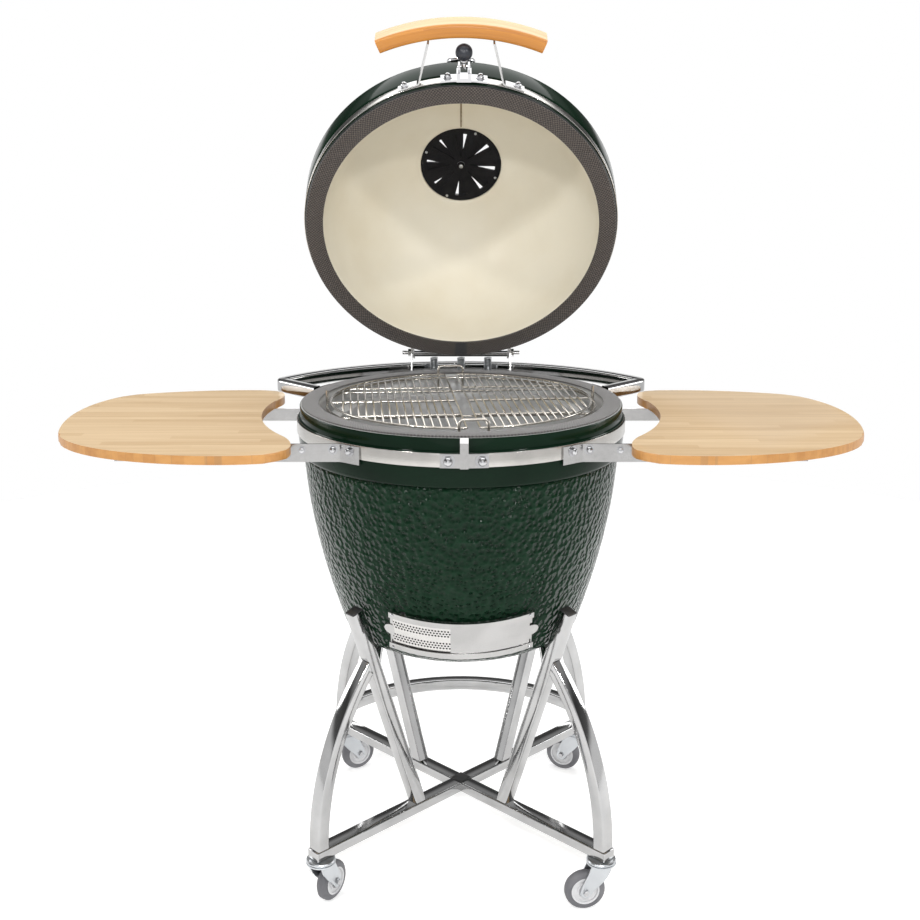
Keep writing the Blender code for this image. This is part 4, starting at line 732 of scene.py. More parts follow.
    def tube(self, name: str, path: Points, section: Points, material: bpy.types.Material,
             place: Matrix = Matrix(), flats: Sequence[Optional[Sequence[float]]] = (None, None),
             **how: object) -> bpy.types.Object:
        """A bar of any section swept along a path in its own XY plane, mitred at corners.

        Args:
            name: the piece's name.
            path: points in the plane.
            section: (across, up) points of the section.
            material: its finish.
            place: carries the plane to its place.
            flats: for each end, the direction it is cut square to, where that isn't its own run.
            how: passed on to loft.

        Returns:
            The new object.
        """
        rings = []
        points = [Vector((*p, 0.0)) for p in path]
        for index, point in enumerate(points):
            before = (point - points[index - 1]).normalized() if index else None
            after = (points[index + 1] - point).normalized() if index < len(points) - 1 else None
            run = ((before or after) + (after or before)).normalized()
            flat = flats[0] if index == 0 else flats[1] if index == len(points) - 1 else None
            normal = Vector((*flat, 0.0)).normalized() if flat else run
            across = Vector((normal.y, -normal.x, 0.0))
            stretch = 1.0 / max(0.3, abs(normal.dot(after or before)))
            rings.append([point + across * a * stretch + Vector((0, 0, b)) for a, b in section])
        return self.loft(name, rings, material, place, **how)

    def wire(self, name: str, points: Sequence[Vector], radius: float, material: bpy.types.Material,
             place: Matrix = Matrix(), cyclic: bool = False, sides: int = 3) -> bpy.types.Object:
        """A round wire through points."""
        curve = bpy.data.curves.new(name, "CURVE")
        curve.dimensions = "3D"
        spline = curve.splines.new("POLY")
        spline.points.add(len(points) - 1)
        for knot, point in zip(spline.points, points):
            knot.co = (*point, 1.0)
        spline.use_cyclic_u = cyclic
        curve.bevel_depth = radius
        curve.bevel_resolution = sides
        curve.use_fill_caps = True
        holder = enter(name, curve)
        bpy.context.view_layer.update()
        mesh = evaluated(holder)
        shape = bmesh.new()
        shape.from_mesh(mesh)
        bpy.data.objects.remove(holder, do_unlink=True)
        bpy.data.meshes.remove(mesh)
        return self.piece(name, shape, [material], place, 45.0)

    def plate(self, name: str, outline: Points, thickness: float, material: bpy.types.Material,
              place: Matrix = Matrix(), edge: float = 0.0004, steps: int = 2,
              rim: Optional[bpy.types.Material] = None) -> bpy.types.Object:
        """A flat plate from an outline in its own XY plane, centred on it, with softened edges."""
        shape = bmesh.new()
        top = shape.faces.new([shape.verts.new((x, y, thickness / 2)) for x, y in outline])
        low = shape.faces.new([shape.verts.new((x, y, -thickness / 2)) for x, y in reversed(outline)])
        upper, lower = list(top.verts), list(reversed(low.verts))
        sides = []
        for index in range(len(outline)):
            after = (index + 1) % len(outline)
            sides.append(shape.faces.new((upper[index], lower[index], lower[after], upper[after])))
        for face in sides:
            face.material_index = 1 if rim else 0
        if edge:
            rims = list({e for f in (top, low) for e in f.edges})
            bmesh.ops.bevel(shape, geom=rims, offset=edge, segments=steps, profile=0.5, affect="EDGES",
                            material=1 if rim else 0)
        return self.piece(name, shape, [material, rim] if rim else [material], place, 50.0)

    def bent(self, name: str, section: Points, start: float, end: float, material: bpy.types.Material,
             place: Matrix = Matrix(), step: float = 0.75) -> bpy.types.Object:
        """A (radius, height) section bent about the Z axis from one azimuth to another."""
        count = max(2, round(abs(end - start) / step))
        turns = [start + (end - start) * index / count for index in range(count + 1)]
        return self.loft(name, [[around(r, a, z) for r, z in section] for a in turns], material, place)

    def cut(self, piece: bpy.types.Object, *tools: bpy.types.Object) -> bpy.types.Object:
        """Cut tools away from a piece, and keep its name, finishes and map."""
        for tool in tools:
            modifier = piece.modifiers.new("cut", "BOOLEAN")
            modifier.operation, modifier.solver, modifier.object = "DIFFERENCE", "EXACT", tool
        bpy.context.view_layer.update()
        mesh = evaluated(piece)
        piece.modifiers.clear()
        piece.data = mesh
        for tool in tools:
            bpy.data.objects.remove(tool, do_unlink=True)
        return piece

    def remap(self, piece: bpy.types.Object, back: Matrix,
              rule: Callable[[Vector], tuple]) -> bpy.types.Object:
        """Write a piece's map anew from each point, taken back to where it was drawn."""
        mesh = piece.data
        layer = mesh.uv_layers.active or mesh.uv_layers.new(name="map")
        for loop in mesh.loops:
            layer.data[loop.index].uv = rule(back @ mesh.vertices[loop.vertex_index].co)
        return piece

    def box(self, name: str, size: Sequence[float], material: bpy.types.Material, place: Matrix = Matrix(),
            edge: float = 0.0006) -> bpy.types.Object:
        """A block with softened edges."""
        shape = bmesh.new()
        bmesh.ops.create_cube(shape, size=1.0)
        bmesh.ops.transform(shape, matrix=Matrix.Diagonal((*size, 1.0)), verts=shape.verts)
        if edge:
            bmesh.ops.bevel(shape, geom=list(shape.edges), offset=edge, segments=2, profile=0.5,
                            affect="EDGES")
        return self.piece(name, shape, [material], place, 50.0)

    def finish(self, piece: bpy.types.Object, body: str, slot: str, *nodes: str) -> bpy.types.Object:
        """Put a piece on its body, hide the solids it stands for, and report it."""
        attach(piece, body)
        if nodes:
            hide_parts(*nodes)
        LOG.info("%s: %d faces on %s", piece.name, len(piece.data.polygons), body)
        return piece


# ---------------------------------------- repeats
class Head(Enum):
    """The kinds of fastener head: sides, share of the height that is straight, washer size."""

    DOME_NUT = (6, 0.45, 1.35)
    BOLT = (6, 0.85, 1.30)
    SCREW = (24, 0.30, 1.0)


class Repeats:
    """Geometry node trees that make what repeats."""

    def __init__(self, shop: Workshop) -> None:
        """Build each tree once."""
        self.shop = shop
        self.fasteners = self._fastener_tree()
        self.bars = self._bar_tree()
        self.coil = self._coil_tree()

    @staticmethod
    def _tree(name: str, inputs: dict) -> tuple:
        """A new tree with named inputs and its end nodes."""
        tree = bpy.data.node_groups.new(name, "GeometryNodeTree")
        tree.interface.new_socket("Geometry", in_out="INPUT", socket_type="NodeSocketGeometry")
        for key, (kind, value) in inputs.items():
            socket = tree.interface.new_socket(key, in_out="INPUT", socket_type=kind)
            if value is not None:
                socket.default_value = value
        tree.interface.new_socket("Geometry", in_out="OUTPUT", socket_type="NodeSocketGeometry")
        return tree, tree.nodes.new("NodeGroupInput"), tree.nodes.new("NodeGroupOutput")

    @staticmethod
    def _node(tree: bpy.types.NodeTree, kind: str, links: dict, **settings: object) -> bpy.types.Node:
        """Add a node with its links and settings."""
        made = tree.nodes.new(kind)
        for key, value in settings.items():
            setattr(made, key, value)
        for key, value in links.items():
            if isinstance(value, bpy.types.NodeSocket):
                tree.links.new(value, made.inputs[key])
            else:
                made.inputs[key].default_value = value
        return made

    def _maths(self, tree: bpy.types.NodeTree, operation: str, *values: object) -> bpy.types.NodeSocket:
        """One step of arithmetic inside a tree."""
        return self._node(tree, "ShaderNodeMath", dict(enumerate(values)), operation=operation).outputs[0]

    def _close(self, tree: bpy.types.NodeTree, start: bpy.types.Node, end: bpy.types.Node,
               geometry: bpy.types.NodeSocket, smooth: bool = True) -> None:
        """End a tree in Realize Instances and Set Material."""
        real = self._node(tree, "GeometryNodeRealizeInstances", {"Geometry": geometry})
        shaded = self._node(tree, "GeometryNodeSetShadeSmooth",
                            {"Geometry": real.outputs[0], "Shade Smooth": smooth})
        dressed = self._node(tree, "GeometryNodeSetMaterial", {"Geometry": shaded.outputs[0],
                                                               "Material": start.outputs["Material"]})
        tree.links.new(dressed.outputs[0], end.inputs[0])

    def _fastener_tree(self) -> bpy.types.NodeTree:
        """A washer, a straight-sided head and a dome at each point, standing along Axis."""
        number, vector = "NodeSocketFloat", "NodeSocketVector"
        tree, start, end = self._tree("fasteners", {
            "Sides": ("NodeSocketInt", 6), "Radius": (number, 0.006), "Height": (number, 0.006),
            "Straight": (number, 0.5), "Washer": (number, 1.3), "Axis": (vector, (0, 0, 1)),
            "Material": ("NodeSocketMaterial", None)})
        out = start.outputs
        half = self._maths(tree, "MULTIPLY", out["Height"], out["Straight"])
        body = self._node(tree, "GeometryNodeMeshCylinder",
                          {"Vertices": out["Sides"], "Radius": out["Radius"], "Depth": half})
        lift = self._maths(tree, "MULTIPLY", half, 0.5)
        up = self._node(tree, "ShaderNodeCombineXYZ", {"Z": lift}).outputs[0]
        body = self._node(tree, "GeometryNodeTransform", {"Geometry": body.outputs[0], "Translation": up})
        inner = self._maths(tree, "MULTIPLY", out["Radius"], 0.86)
        dome = self._node(tree, "GeometryNodeMeshUVSphere", {"Segments": 20, "Rings": 10, "Radius": inner})
        rest = self._maths(tree, "SUBTRACT", out["Height"], half)
        flat = self._maths(tree, "DIVIDE", rest, inner)
        shape = self._node(tree, "ShaderNodeCombineXYZ", {"X": 1.0, "Y": 1.0, "Z": flat}).outputs[0]
        place = self._node(tree, "ShaderNodeCombineXYZ", {"Z": half}).outputs[0]
        dome = self._node(tree, "GeometryNodeTransform", {"Geometry": dome.outputs[0], "Translation": place,
                                                          "Scale": shape})
        wide = self._maths(tree, "MULTIPLY", out["Radius"], out["Washer"])
        washer = self._node(tree, "GeometryNodeMeshCylinder",
                            {"Vertices": 28, "Radius": wide, "Depth": 0.0014})
        both = self._node(tree, "GeometryNodeJoinGeometry", {})
        for part in (body, dome, washer):
            tree.links.new(part.outputs[0], both.inputs[0])
        turn = self._node(tree, "FunctionNodeAlignEulerToVector", {"Vector": out["Axis"]}, axis="Z")
        copies = self._node(tree, "GeometryNodeInstanceOnPoints", {
            "Points": out["Geometry"], "Instance": both.outputs[0], "Rotation": turn.outputs[0]})
        self._close(tree, start, end, copies.outputs[0], False)
        return tree

    def _bar_tree(self) -> bpy.types.NodeTree:
        """Round bars across a disc, each as long as its chord."""
        number = "NodeSocketFloat"
        tree, start, end = self._tree("grate_bars", {
            "Count": ("NodeSocketInt", 16), "First": (number, 0.02), "Pitch": (number, 0.013),
            "Room": (number, 0.24), "Radius": (number, 0.002), "Material": ("NodeSocketMaterial", None)})
        out = start.outputs
        origin = self._node(tree, "ShaderNodeCombineXYZ", {"X": out["First"]}).outputs[0]
        step = self._node(tree, "ShaderNodeCombineXYZ", {"X": out["Pitch"]}).outputs[0]
        line = self._node(tree, "GeometryNodeMeshLine",
                          {"Count": out["Count"], "Start Location": origin, "Offset": step})
        bar = self._node(tree, "GeometryNodeMeshCylinder",
                         {"Vertices": 10, "Radius": out["Radius"], "Depth": 2.0})
        laid = self._node(tree, "GeometryNodeTransform", {"Geometry": bar.outputs[0],
                                                          "Rotation": (math.pi / 2, 0.0, 0.0)})
        place = self._node(tree, "GeometryNodeInputPosition", {}).outputs[0]
        x = self._node(tree, "ShaderNodeSeparateXYZ", {0: place}).outputs["X"]
        square = self._maths(tree, "MULTIPLY", x, x)
        room = self._maths(tree, "MULTIPLY", out["Room"], out["Room"])
        left = self._maths(tree, "SUBTRACT", room, square)
        chord = self._maths(tree, "SQRT", left)
        size = self._node(tree, "ShaderNodeCombineXYZ", {"X": 1.0, "Y": chord, "Z": 1.0}).outputs[0]
        copies = self._node(tree, "GeometryNodeInstanceOnPoints", {"Points": line.outputs[0],
                                                                   "Instance": laid.outputs[0],
                                                                   "Scale": size})
        self._close(tree, start, end, copies.outputs[0])
        return tree

    def _coil_tree(self) -> bpy.types.NodeTree:
        """A coil spring along Z."""
        number = "NodeSocketFloat"
        tree, start, end = self._tree("coil_spring", {
            "Turns": (number, 12.0), "Radius": (number, 0.007), "Height": (number, 0.07),
            "Wire": (number, 0.0012), "Material": ("NodeSocketMaterial", None)})
        out = start.outputs
        spiral = self._node(tree, "GeometryNodeCurveSpiral", {
            "Resolution": 20, "Rotations": out["Turns"], "Start Radius": out["Radius"],
            "End Radius": out["Radius"], "Height": out["Height"]})
        ring = self._node(tree, "GeometryNodeCurvePrimitiveCircle", {"Resolution": 8, "Radius": out["Wire"]})
        skin = self._node(tree, "GeometryNodeCurveToMesh", {"Curve": spiral.outputs[0],
                                                            "Profile Curve": ring.outputs[0],
                                                            "Fill Caps": True})
        self._close(tree, start, end, skin.outputs[0])
        return tree

    def make(self, name: str, tree: bpy.types.NodeTree, values: dict, place: Matrix = Matrix(),
             points: Points = ((0.0, 0.0, 0.0),)) -> bpy.types.Object:
        """Run a tree and keep its result as a plain mesh.

        Args:
            name: the piece's name.
            tree: the node tree.
            values: input name to value.
            place: carries the result to its place.
            points: the points that the tree starts from.

        Returns:
            The new object.
        """
        seed = bpy.data.meshes.new(name + "_points")
        seed.from_pydata([tuple(p) for p in points], [], [])
        holder = enter(name + "_points", seed)
        modifier = holder.modifiers.new("nodes", "NODES")
        modifier.node_group = tree
        for item in tree.interface.items_tree:
            if item.item_type == "SOCKET" and item.in_out == "INPUT" and item.name in values:
                modifier[item.identifier] = values[item.name]
        holder.update_tag()
        bpy.context.view_layer.update()
        mesh = evaluated(holder)
        holder.modifiers.clear()
        bpy.data.objects.remove(holder, do_unlink=True)
        mesh.name = name
        mesh.transform(place)
        return enter(name, mesh)

    def heads(self, name: str, kind: Head, points: Sequence[Vector], axis: Sequence[float], radius: float,
              height: float, material: bpy.types.Material, place: Matrix = Matrix()) -> bpy.types.Object:
        """Fastener heads of one kind at points, all facing one way."""
        sides, straight, washer = kind.value
        return self.make(name, self.fasteners, {
            "Sides": sides, "Radius": radius, "Height": height, "Straight": straight, "Washer": washer,
            "Axis": tuple(axis), "Material": material}, place, points)


# ---------------------------------------- the egg
@dataclass
class Egg:
    """Base bowl, rings, felt and band."""

    shop: Workshop
    repeats: Repeats
    felt_out: float = 0.295
    felt_in: float = 0.263
    lip: float = 0.2985
    band: float = 0.3045
    band_top: float = 0.028
    band_low: float = 0.052
    foot: float = 0.474
    draft: tuple = (0.150, 0.12, 0.036)
    draft_depth: float = 0.3815

    def build(self) -> None:
        """Build the pieces of the base."""
        self.bowl()
        self.rings()
        self.fire_ring()

    def side(self) -> list[tuple]:
        """The bowl's outside as (radius, depth) from the shoulder's ledge down."""
        upper = bezier((0.2925, 0.0905), (0.288, 0.1944), (0.265, 0.3003), (0.224, 0.4195), 30)
        lower = bezier((0.224, 0.4195), (0.2155, 0.4359), (0.1635, 0.462), (0.103, 0.474), 12)
        return upper + lower[1:]

    def bowl(self) -> None:
        """The glazed bowl, with its lip, band seat, shoulder and foot."""
        pal = self.shop.palette
        top = [(self.felt_in, 0.0036), (0.2970, 0.0036), (0.2980, 0.0040), (self.lip, 0.0052),
               (self.lip, 0.025), (0.3014, 0.0254), (0.3022, 0.0268), (0.3024, 0.029), (0.3024, 0.0525),
               (0.3023, 0.056),
               (0.3012, 0.070), (0.2996, 0.0835), (0.2986, 0.0872), (0.2968, 0.0892), (0.2945, 0.0900)]
        inner = [(0.263, 0.006), (0.2655, 0.05), (0.2655, 0.0885)]
        inner += bezier((0.2655, 0.0885), (0.260, 0.19), (0.236, 0.30), (0.196, 0.405), 14)[1:]
        inner += bezier((0.196, 0.405), (0.188, 0.418), (0.15, 0.438), (0.10, 0.444), 6)[1:]
        outside = [(0.0, self.foot), (0.095, self.foot)] + self.side()[::-1] + top[::-1]
        profile = [(r, RIM - d) for r, d in outside + inner + [(0.0, 0.444)]]
        bowl = self.shop.revolve("bowl_base", profile, [(0, pal.glaze), (len(outside) - 2, pal.rim),
                                                        (len(outside), pal.fire_clay)],
                                 PLACE.base(), 128, closed=False, sharp=40.0)
        hole = self.shop.box("draft_hole", self.draft, pal.fire_clay,
                             Matrix.Translation((0, PLACE.axis_y - 0.235, RIM - self.draft_depth)), 0.0)
        self.shop.finish(self.shop.cut(bowl, hole), "grill", "glaze", "base_bowl")

    def rings(self) -> None:
        """The base's felt and its steel band."""
        pal = self.shop.palette
        width = self.felt_out - self.felt_in
        section = [(x + (self.felt_in + self.felt_out) / 2, y + RIM - 0.0018)
                   for x, y in rounded(width, 0.0030, 0.0012)]
        felt = self.shop.revolve("felt_base", section, [(0, pal.base_felt)], PLACE.base(), 128, sharp=60.0)
        self.shop.finish(felt, "grill", "felt", "base_gasket")
        height = self.band_low - self.band_top
        section = [(x + self.band - 0.0009, y + RIM - self.band_top - height / 2)
                   for x, y in rounded(0.0018, height, 0.0007)]
        band = self.shop.revolve("band_base", section, [(0, pal.band)], PLACE.base(), 160, sharp=60.0)
        self.shop.finish(band, "grill", "steel", "base_band")

    def fire_ring(self) -> None:
        """The loose fire-clay ring that the grates stand on."""
        pal = self.shop.palette
        profile = [(0.2262, 0.8640), (0.2250, 0.8628), (0.2175, 0.7353), (0.2475, 0.7353), (0.2550, 0.8340),
                   (0.2550, 0.8622), (0.2532, 0.8640)]
        ring = self.shop.revolve("fire_ring_clay", profile, [(0, pal.fire_clay)], PLACE.base(), 96)
        self.shop.finish(ring, "grill", "ceramic", "fire_ring")


@dataclass
class Lid:
    """Dome, felt, band, thermometer, handle and vent fittings, all drawn closed."""

    shop: Workshop
    repeats: Repeats
    felt_out: float = 0.295
    felt_in: float = 0.263
    band: float = 0.2995
    band_low: float = 0.012
    band_high: float = 0.032
    lap_half: float = 2.4
    height: float = 0.272
    shoulder: float = 0.085
    chimney: float = 0.083
    grip_radius: float = 0.385
    grip_height: float = 0.0413
    grip_length: float = 0.298
    grip_size: tuple = (0.025, 0.041)

    def build(self) -> None:
        """Build the pieces of the lid."""
        self.dome()
        self.rings()
        self.thermometer()
        self.handle()
        self.fittings()

    def curve(self, count: int) -> list[tuple]:
        """The dome's outside as (radius, height), from its shoulder to the chimney."""
        rise = self.height - self.shoulder
        return bezier((0.294, self.shoulder + 0.003), (0.280, self.shoulder + 0.5 * rise),
                      (self.chimney + 0.102, self.height - 0.010), (self.chimney + 0.007, self.height), count)

    def dome(self) -> None:
        """The dome: green outside, cream inside, and black from its lip's lower edge across its rim, painted
        as the shadow gap above the felt.
        """
        pal = self.shop.palette
        ceiling = self.height - 0.0175
        hollow = bezier((0.2632, 0.0052), (0.258, 0.1287), (0.190, ceiling - 0.020),
                        (self.chimney + 0.002, ceiling), 34)
        neck = [(self.chimney, ceiling + 0.002), (self.chimney, self.height - 0.002),
                (self.chimney + 0.002, self.height)]
        outside = [(0.2975, 0.0868), (0.3002, 0.0862), (0.3016, 0.0848), (0.3020, 0.0825), (0.3013, 0.060),
                   (0.3005, 0.040), (0.2998, 0.0365), (0.2978, 0.0342), (0.2974, 0.033), (0.2974, 0.0105),
                   (0.2970, 0.0088), (0.2968, 0.0048), (0.2958, 0.0036)]
        rim = [(0.2945, 0.0036), (0.2645, 0.0036)]
        dome = self.curve(36)[::-1]
        profile = [(r, RIM + h) for r, h in hollow + neck + dome + outside + rim]
        green = len(hollow) + len(neck) - 1
        last = green + len(dome) + len(outside)
        # From the lip's lower edge on, the rim is black: painted shadow for the dark gap between the felt and
        # the green lip.
        shell = self.shop.revolve("dome", profile,
                                  [(0, pal.cream), (green, pal.smooth_glaze), (last - 1, pal.black)],
                                  PLACE.lid(), 128, sharp=40.0)
        self.shop.finish(shell, "lid", "glaze", "lid_dome")

    def rings(self) -> None:
        """The lid's felt with its lapped joint, and its steel band."""
        pal = self.shop.palette
        middle = (self.felt_in + self.felt_out) / 2
        section = [(x + middle, y + RIM + 0.0018)
                   for x, y in rounded(self.felt_out - self.felt_in, 0.0030, 0.0012)]
        felt = self.shop.revolve("felt_ring", section, [(0, pal.lid_felt)], PLACE.lid(), 128, sharp=60.0)
        strip = [(x + middle, y + RIM + 0.0017) for x, y in rounded(0.0315, 0.0034, 0.0010)]
        lap = self.shop.bent("lap", strip, 180 - self.lap_half, 180 + self.lap_half, pal.lap, PLACE.lid())
        self.shop.finish(self.shop.merge("felt_lid", [felt, lap]), "lid", "felt", "lid_gasket")
        tall = self.band_high - self.band_low
        section = [(x + self.band - 0.0009, y + RIM + self.band_low + tall / 2)
                   for x, y in rounded(0.0018, tall, 0.0007)]
        band = self.shop.revolve("band_lid", section, [(0, pal.band)], PLACE.lid(), 160, sharp=60.0)
        self.shop.finish(band, "lid", "steel", "lid_band")

    def thermometer(self) -> None:
        """A dial with a bezel, needle and ticks, and a long thin probe through the wall."""
        pal = self.shop.palette
        curve = self.curve(8)
        (r0, h0), (r1, h1) = curve[2], curve[3]
        run = Vector((0, r0 - r1, h1 - h0)).normalized()
        normal = Vector((0, -run.z, run.y))
        seat = Vector((0, -(r0 + r1) / 2, RIM + (h0 + h1) / 2))
        place = PLACE.lid() @ facing(seat + normal * 0.0025, normal)
        body = [(0, -0.0), (0.0275, 0.0), (0.0295, 0.0015), (0.030, 0.004), (0.0298, 0.0078),
                (0.0285, 0.0098), (0.0268, 0.0098),
                (0.0260, 0.0084), (0.0, 0.0084)]
        body = [(0.90 * r, 0.60 * h) for r, h in body]
        case = self.shop.revolve("case", body, [(0, pal.chrome), (7, pal.dial)], place, 64, closed=False)
        probe = [(0, -0.118), (0.0012, -0.1175), (0.0019, -0.1155), (0.0019, -0.030), (0.0044, -0.029),
                 (0.0044, -0.0215), (0.0022, -0.021), (0.0022, 0.001), (0, 0.001)]
        stem = self.shop.revolve("probe", probe, [(0, pal.brass)], place, 20, closed=False)
        pointing = place @ Matrix.Rotation(math.radians(128), 4, "Z") @ Matrix.Translation((0, 0.006, 0.0054))
        needle = self.shop.box("needle", (0.0016, 0.020, 0.0006), pal.iron, pointing, 0.0)
        ticks = []
        for index in range(21):
            turn = Matrix.Rotation(math.radians(-135 + 13.5 * index), 4, "Z")
            long = 0.0046 if index % 5 == 0 else 0.0026
            mark = place @ turn @ Matrix.Translation((0, 0.0212 - long / 2, 0.0052))
            ticks.append(self.shop.box("tick", (0.0007, long, 0.0003), pal.iron, mark, 0.0))
        self.shop.finish(self.shop.merge("dial", [case, stem, needle, *ticks]), "lid", "chrome",
                         "thermometer")

    def handle(self) -> None:
        """The arched grip of glued bamboo, darker along its lower face."""
        pal = self.shop.palette
        half = math.degrees(self.grip_length / 2 / self.grip_radius)
        path = arc((0, 0), self.grip_radius, -90 - half, -90 + half, 48)
        corners, section = rounded(*self.grip_size, 0.0060, 5), []
        for one, two in zip(corners, corners[1:] + corners[:1]):
            parts = max(1, round(math.dist(one, two) / 0.004))
            section += [(one[0] + (two[0] - one[0]) * i / parts, one[1] + (two[1] - one[1]) * i / parts)
                        for i in range(parts)]
        outer = self.grip_radius + self.grip_size[0] * 0.24

        def paint(point: Vector) -> int:
            """Choose the darker core everywhere but on the pale outer laminations."""
            return 0 if math.hypot(point.x, point.y) > outer and point.z > -0.0125 else 1

        place = PLACE.lid() @ Matrix.Translation((0, 0, RIM + self.grip_height))
        grip = self.shop.tube("grip", path, section, pal.grip, place, paint=paint, extra=[pal.grip_under])
        self.shop.finish(grip, "lid", "bamboo", "lid_handle")

    def fittings(self) -> None:
        """Nuts on the handle's feet and the latch bracket, and the vent's middle bolt and clips."""
        pal, make, place = self.shop.palette, self.repeats.heads, PLACE.lid()
        height = RIM + (self.band_low + self.band_high) / 2
        for name, x, proud in (("nut_handle_left", -0.0994, 0.0033), ("nut_handle_right", 0.0994, 0.0033),
                               ("nut_latch_left", -0.0235, 0.0038), ("nut_latch_right", 0.0335, 0.0038)):
            azimuth = math.degrees(math.asin(x / self.band))
            nut = make(name, Head.DOME_NUT, [around(self.band + proud, azimuth, height)], around(1, azimuth),
                       0.0062, 0.0085, pal.chrome, place)
            self.shop.finish(nut, "lid", "chrome")
        under = RIM + self.height - 0.0115 - 0.003
        bolt = make("vent_nut", Head.DOME_NUT, [Vector((0, 0, under))], (0, 0, -1), 0.0060, 0.0080,
                    pal.zinc, place)
        self.shop.finish(bolt, "lid", "zinc")
        clips = [around(0.0765, turn, under - 0.0003) for turn in (22.5, 112.5, 202.5, 292.5)]
        screws = make("vent_screws", Head.SCREW, clips, (0, 0, -1), 0.0028, 0.0022, pal.zinc, place)
        self.shop.finish(screws, "lid", "zinc")


@dataclass
class Latch:
    """The swinging lever with its ball knob."""

    shop: Workshop
    repeats: Repeats
    x: float = 0.005
    pivot: tuple = (0.325, 0.01838)
    knob_out: float = 0.350
    knob: float = 0.015

    def build(self) -> None:
        """Build the lever, drawn along its own axis from the pivot outwards."""
        pal = self.shop.palette
        reach = self.knob_out - self.pivot[0]
        origin = (self.x, -self.pivot[0], RIM + self.pivot[1])
        place = PLACE.lid() @ facing(origin, (0, -1, 0))
        stem = [(0, -0.0040), (0.0040, -0.0038), (0.0045, -0.0020), (0.0045, reach - 0.019),
                (0.0058, reach - 0.0175), (0.0062, reach - 0.0155), (0.0056, reach - 0.0135),
                (0.0040, reach - 0.012), (0, reach - 0.012)]
        rod = self.shop.revolve("stem", stem, [(0, pal.chrome)], place, 28, closed=False)
        ball = [(self.knob * math.sin(math.radians(a)), reach - self.knob * math.cos(math.radians(a)))
                for a in range(24, 181, 6)]
        ball = [(0.0, ball[0][1])] + ball[:-1] + [(0.0, reach + self.knob)]
        knob = self.shop.revolve("knob", ball, [(0, pal.knob)], place, 40, closed=False)
        axle = self.shop.revolve("axle", [(0, -0.0115), (0.0022, -0.0115), (0.0022, 0.0115), (0, 0.0115)],
                                 [(0, pal.chrome)], PLACE.lid() @ facing(origin, (1, 0, 0)), 16, closed=False)
        self.shop.finish(self.shop.merge("lever", [rod, knob, axle]), "latch", "chrome", "latch_lever")


@dataclass
class Hinge:
    """The three coil springs between the hinge's two brackets."""

    shop: Workshop
    repeats: Repeats
    pitch: float = 0.0567
    low: float = 0.8433
    high: float = 0.9191
    behind: float = 0.335
    radius: float = 0.0082
    wire: float = 0.00125
    turns: float = 24.0
    hook: float = 0.004

    def build(self) -> None:
        """Wind each spring between the hinge's brackets."""
        pal = self.shop.palette
        names = ("left", "middle", "right")
        for index, name in enumerate(names):
            x = (index - 1) * self.pitch
            foot = (x, self.behind + PLACE.axis_y, self.low + self.wire)
            coil = self.repeats.make(f"spring_{name}", self.repeats.coil, {
                "Turns": self.turns, "Radius": self.radius - self.wire,
                "Height": self.high - self.low - 2 * self.wire, "Wire": self.wire,
                "Material": pal.zinc}, Matrix.Translation(foot))
            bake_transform(coil)
            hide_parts(f"hinge_spring_{name}")
            LOG.info("%s: %d faces between grill and lid", coil.name, len(coil.data.polygons))


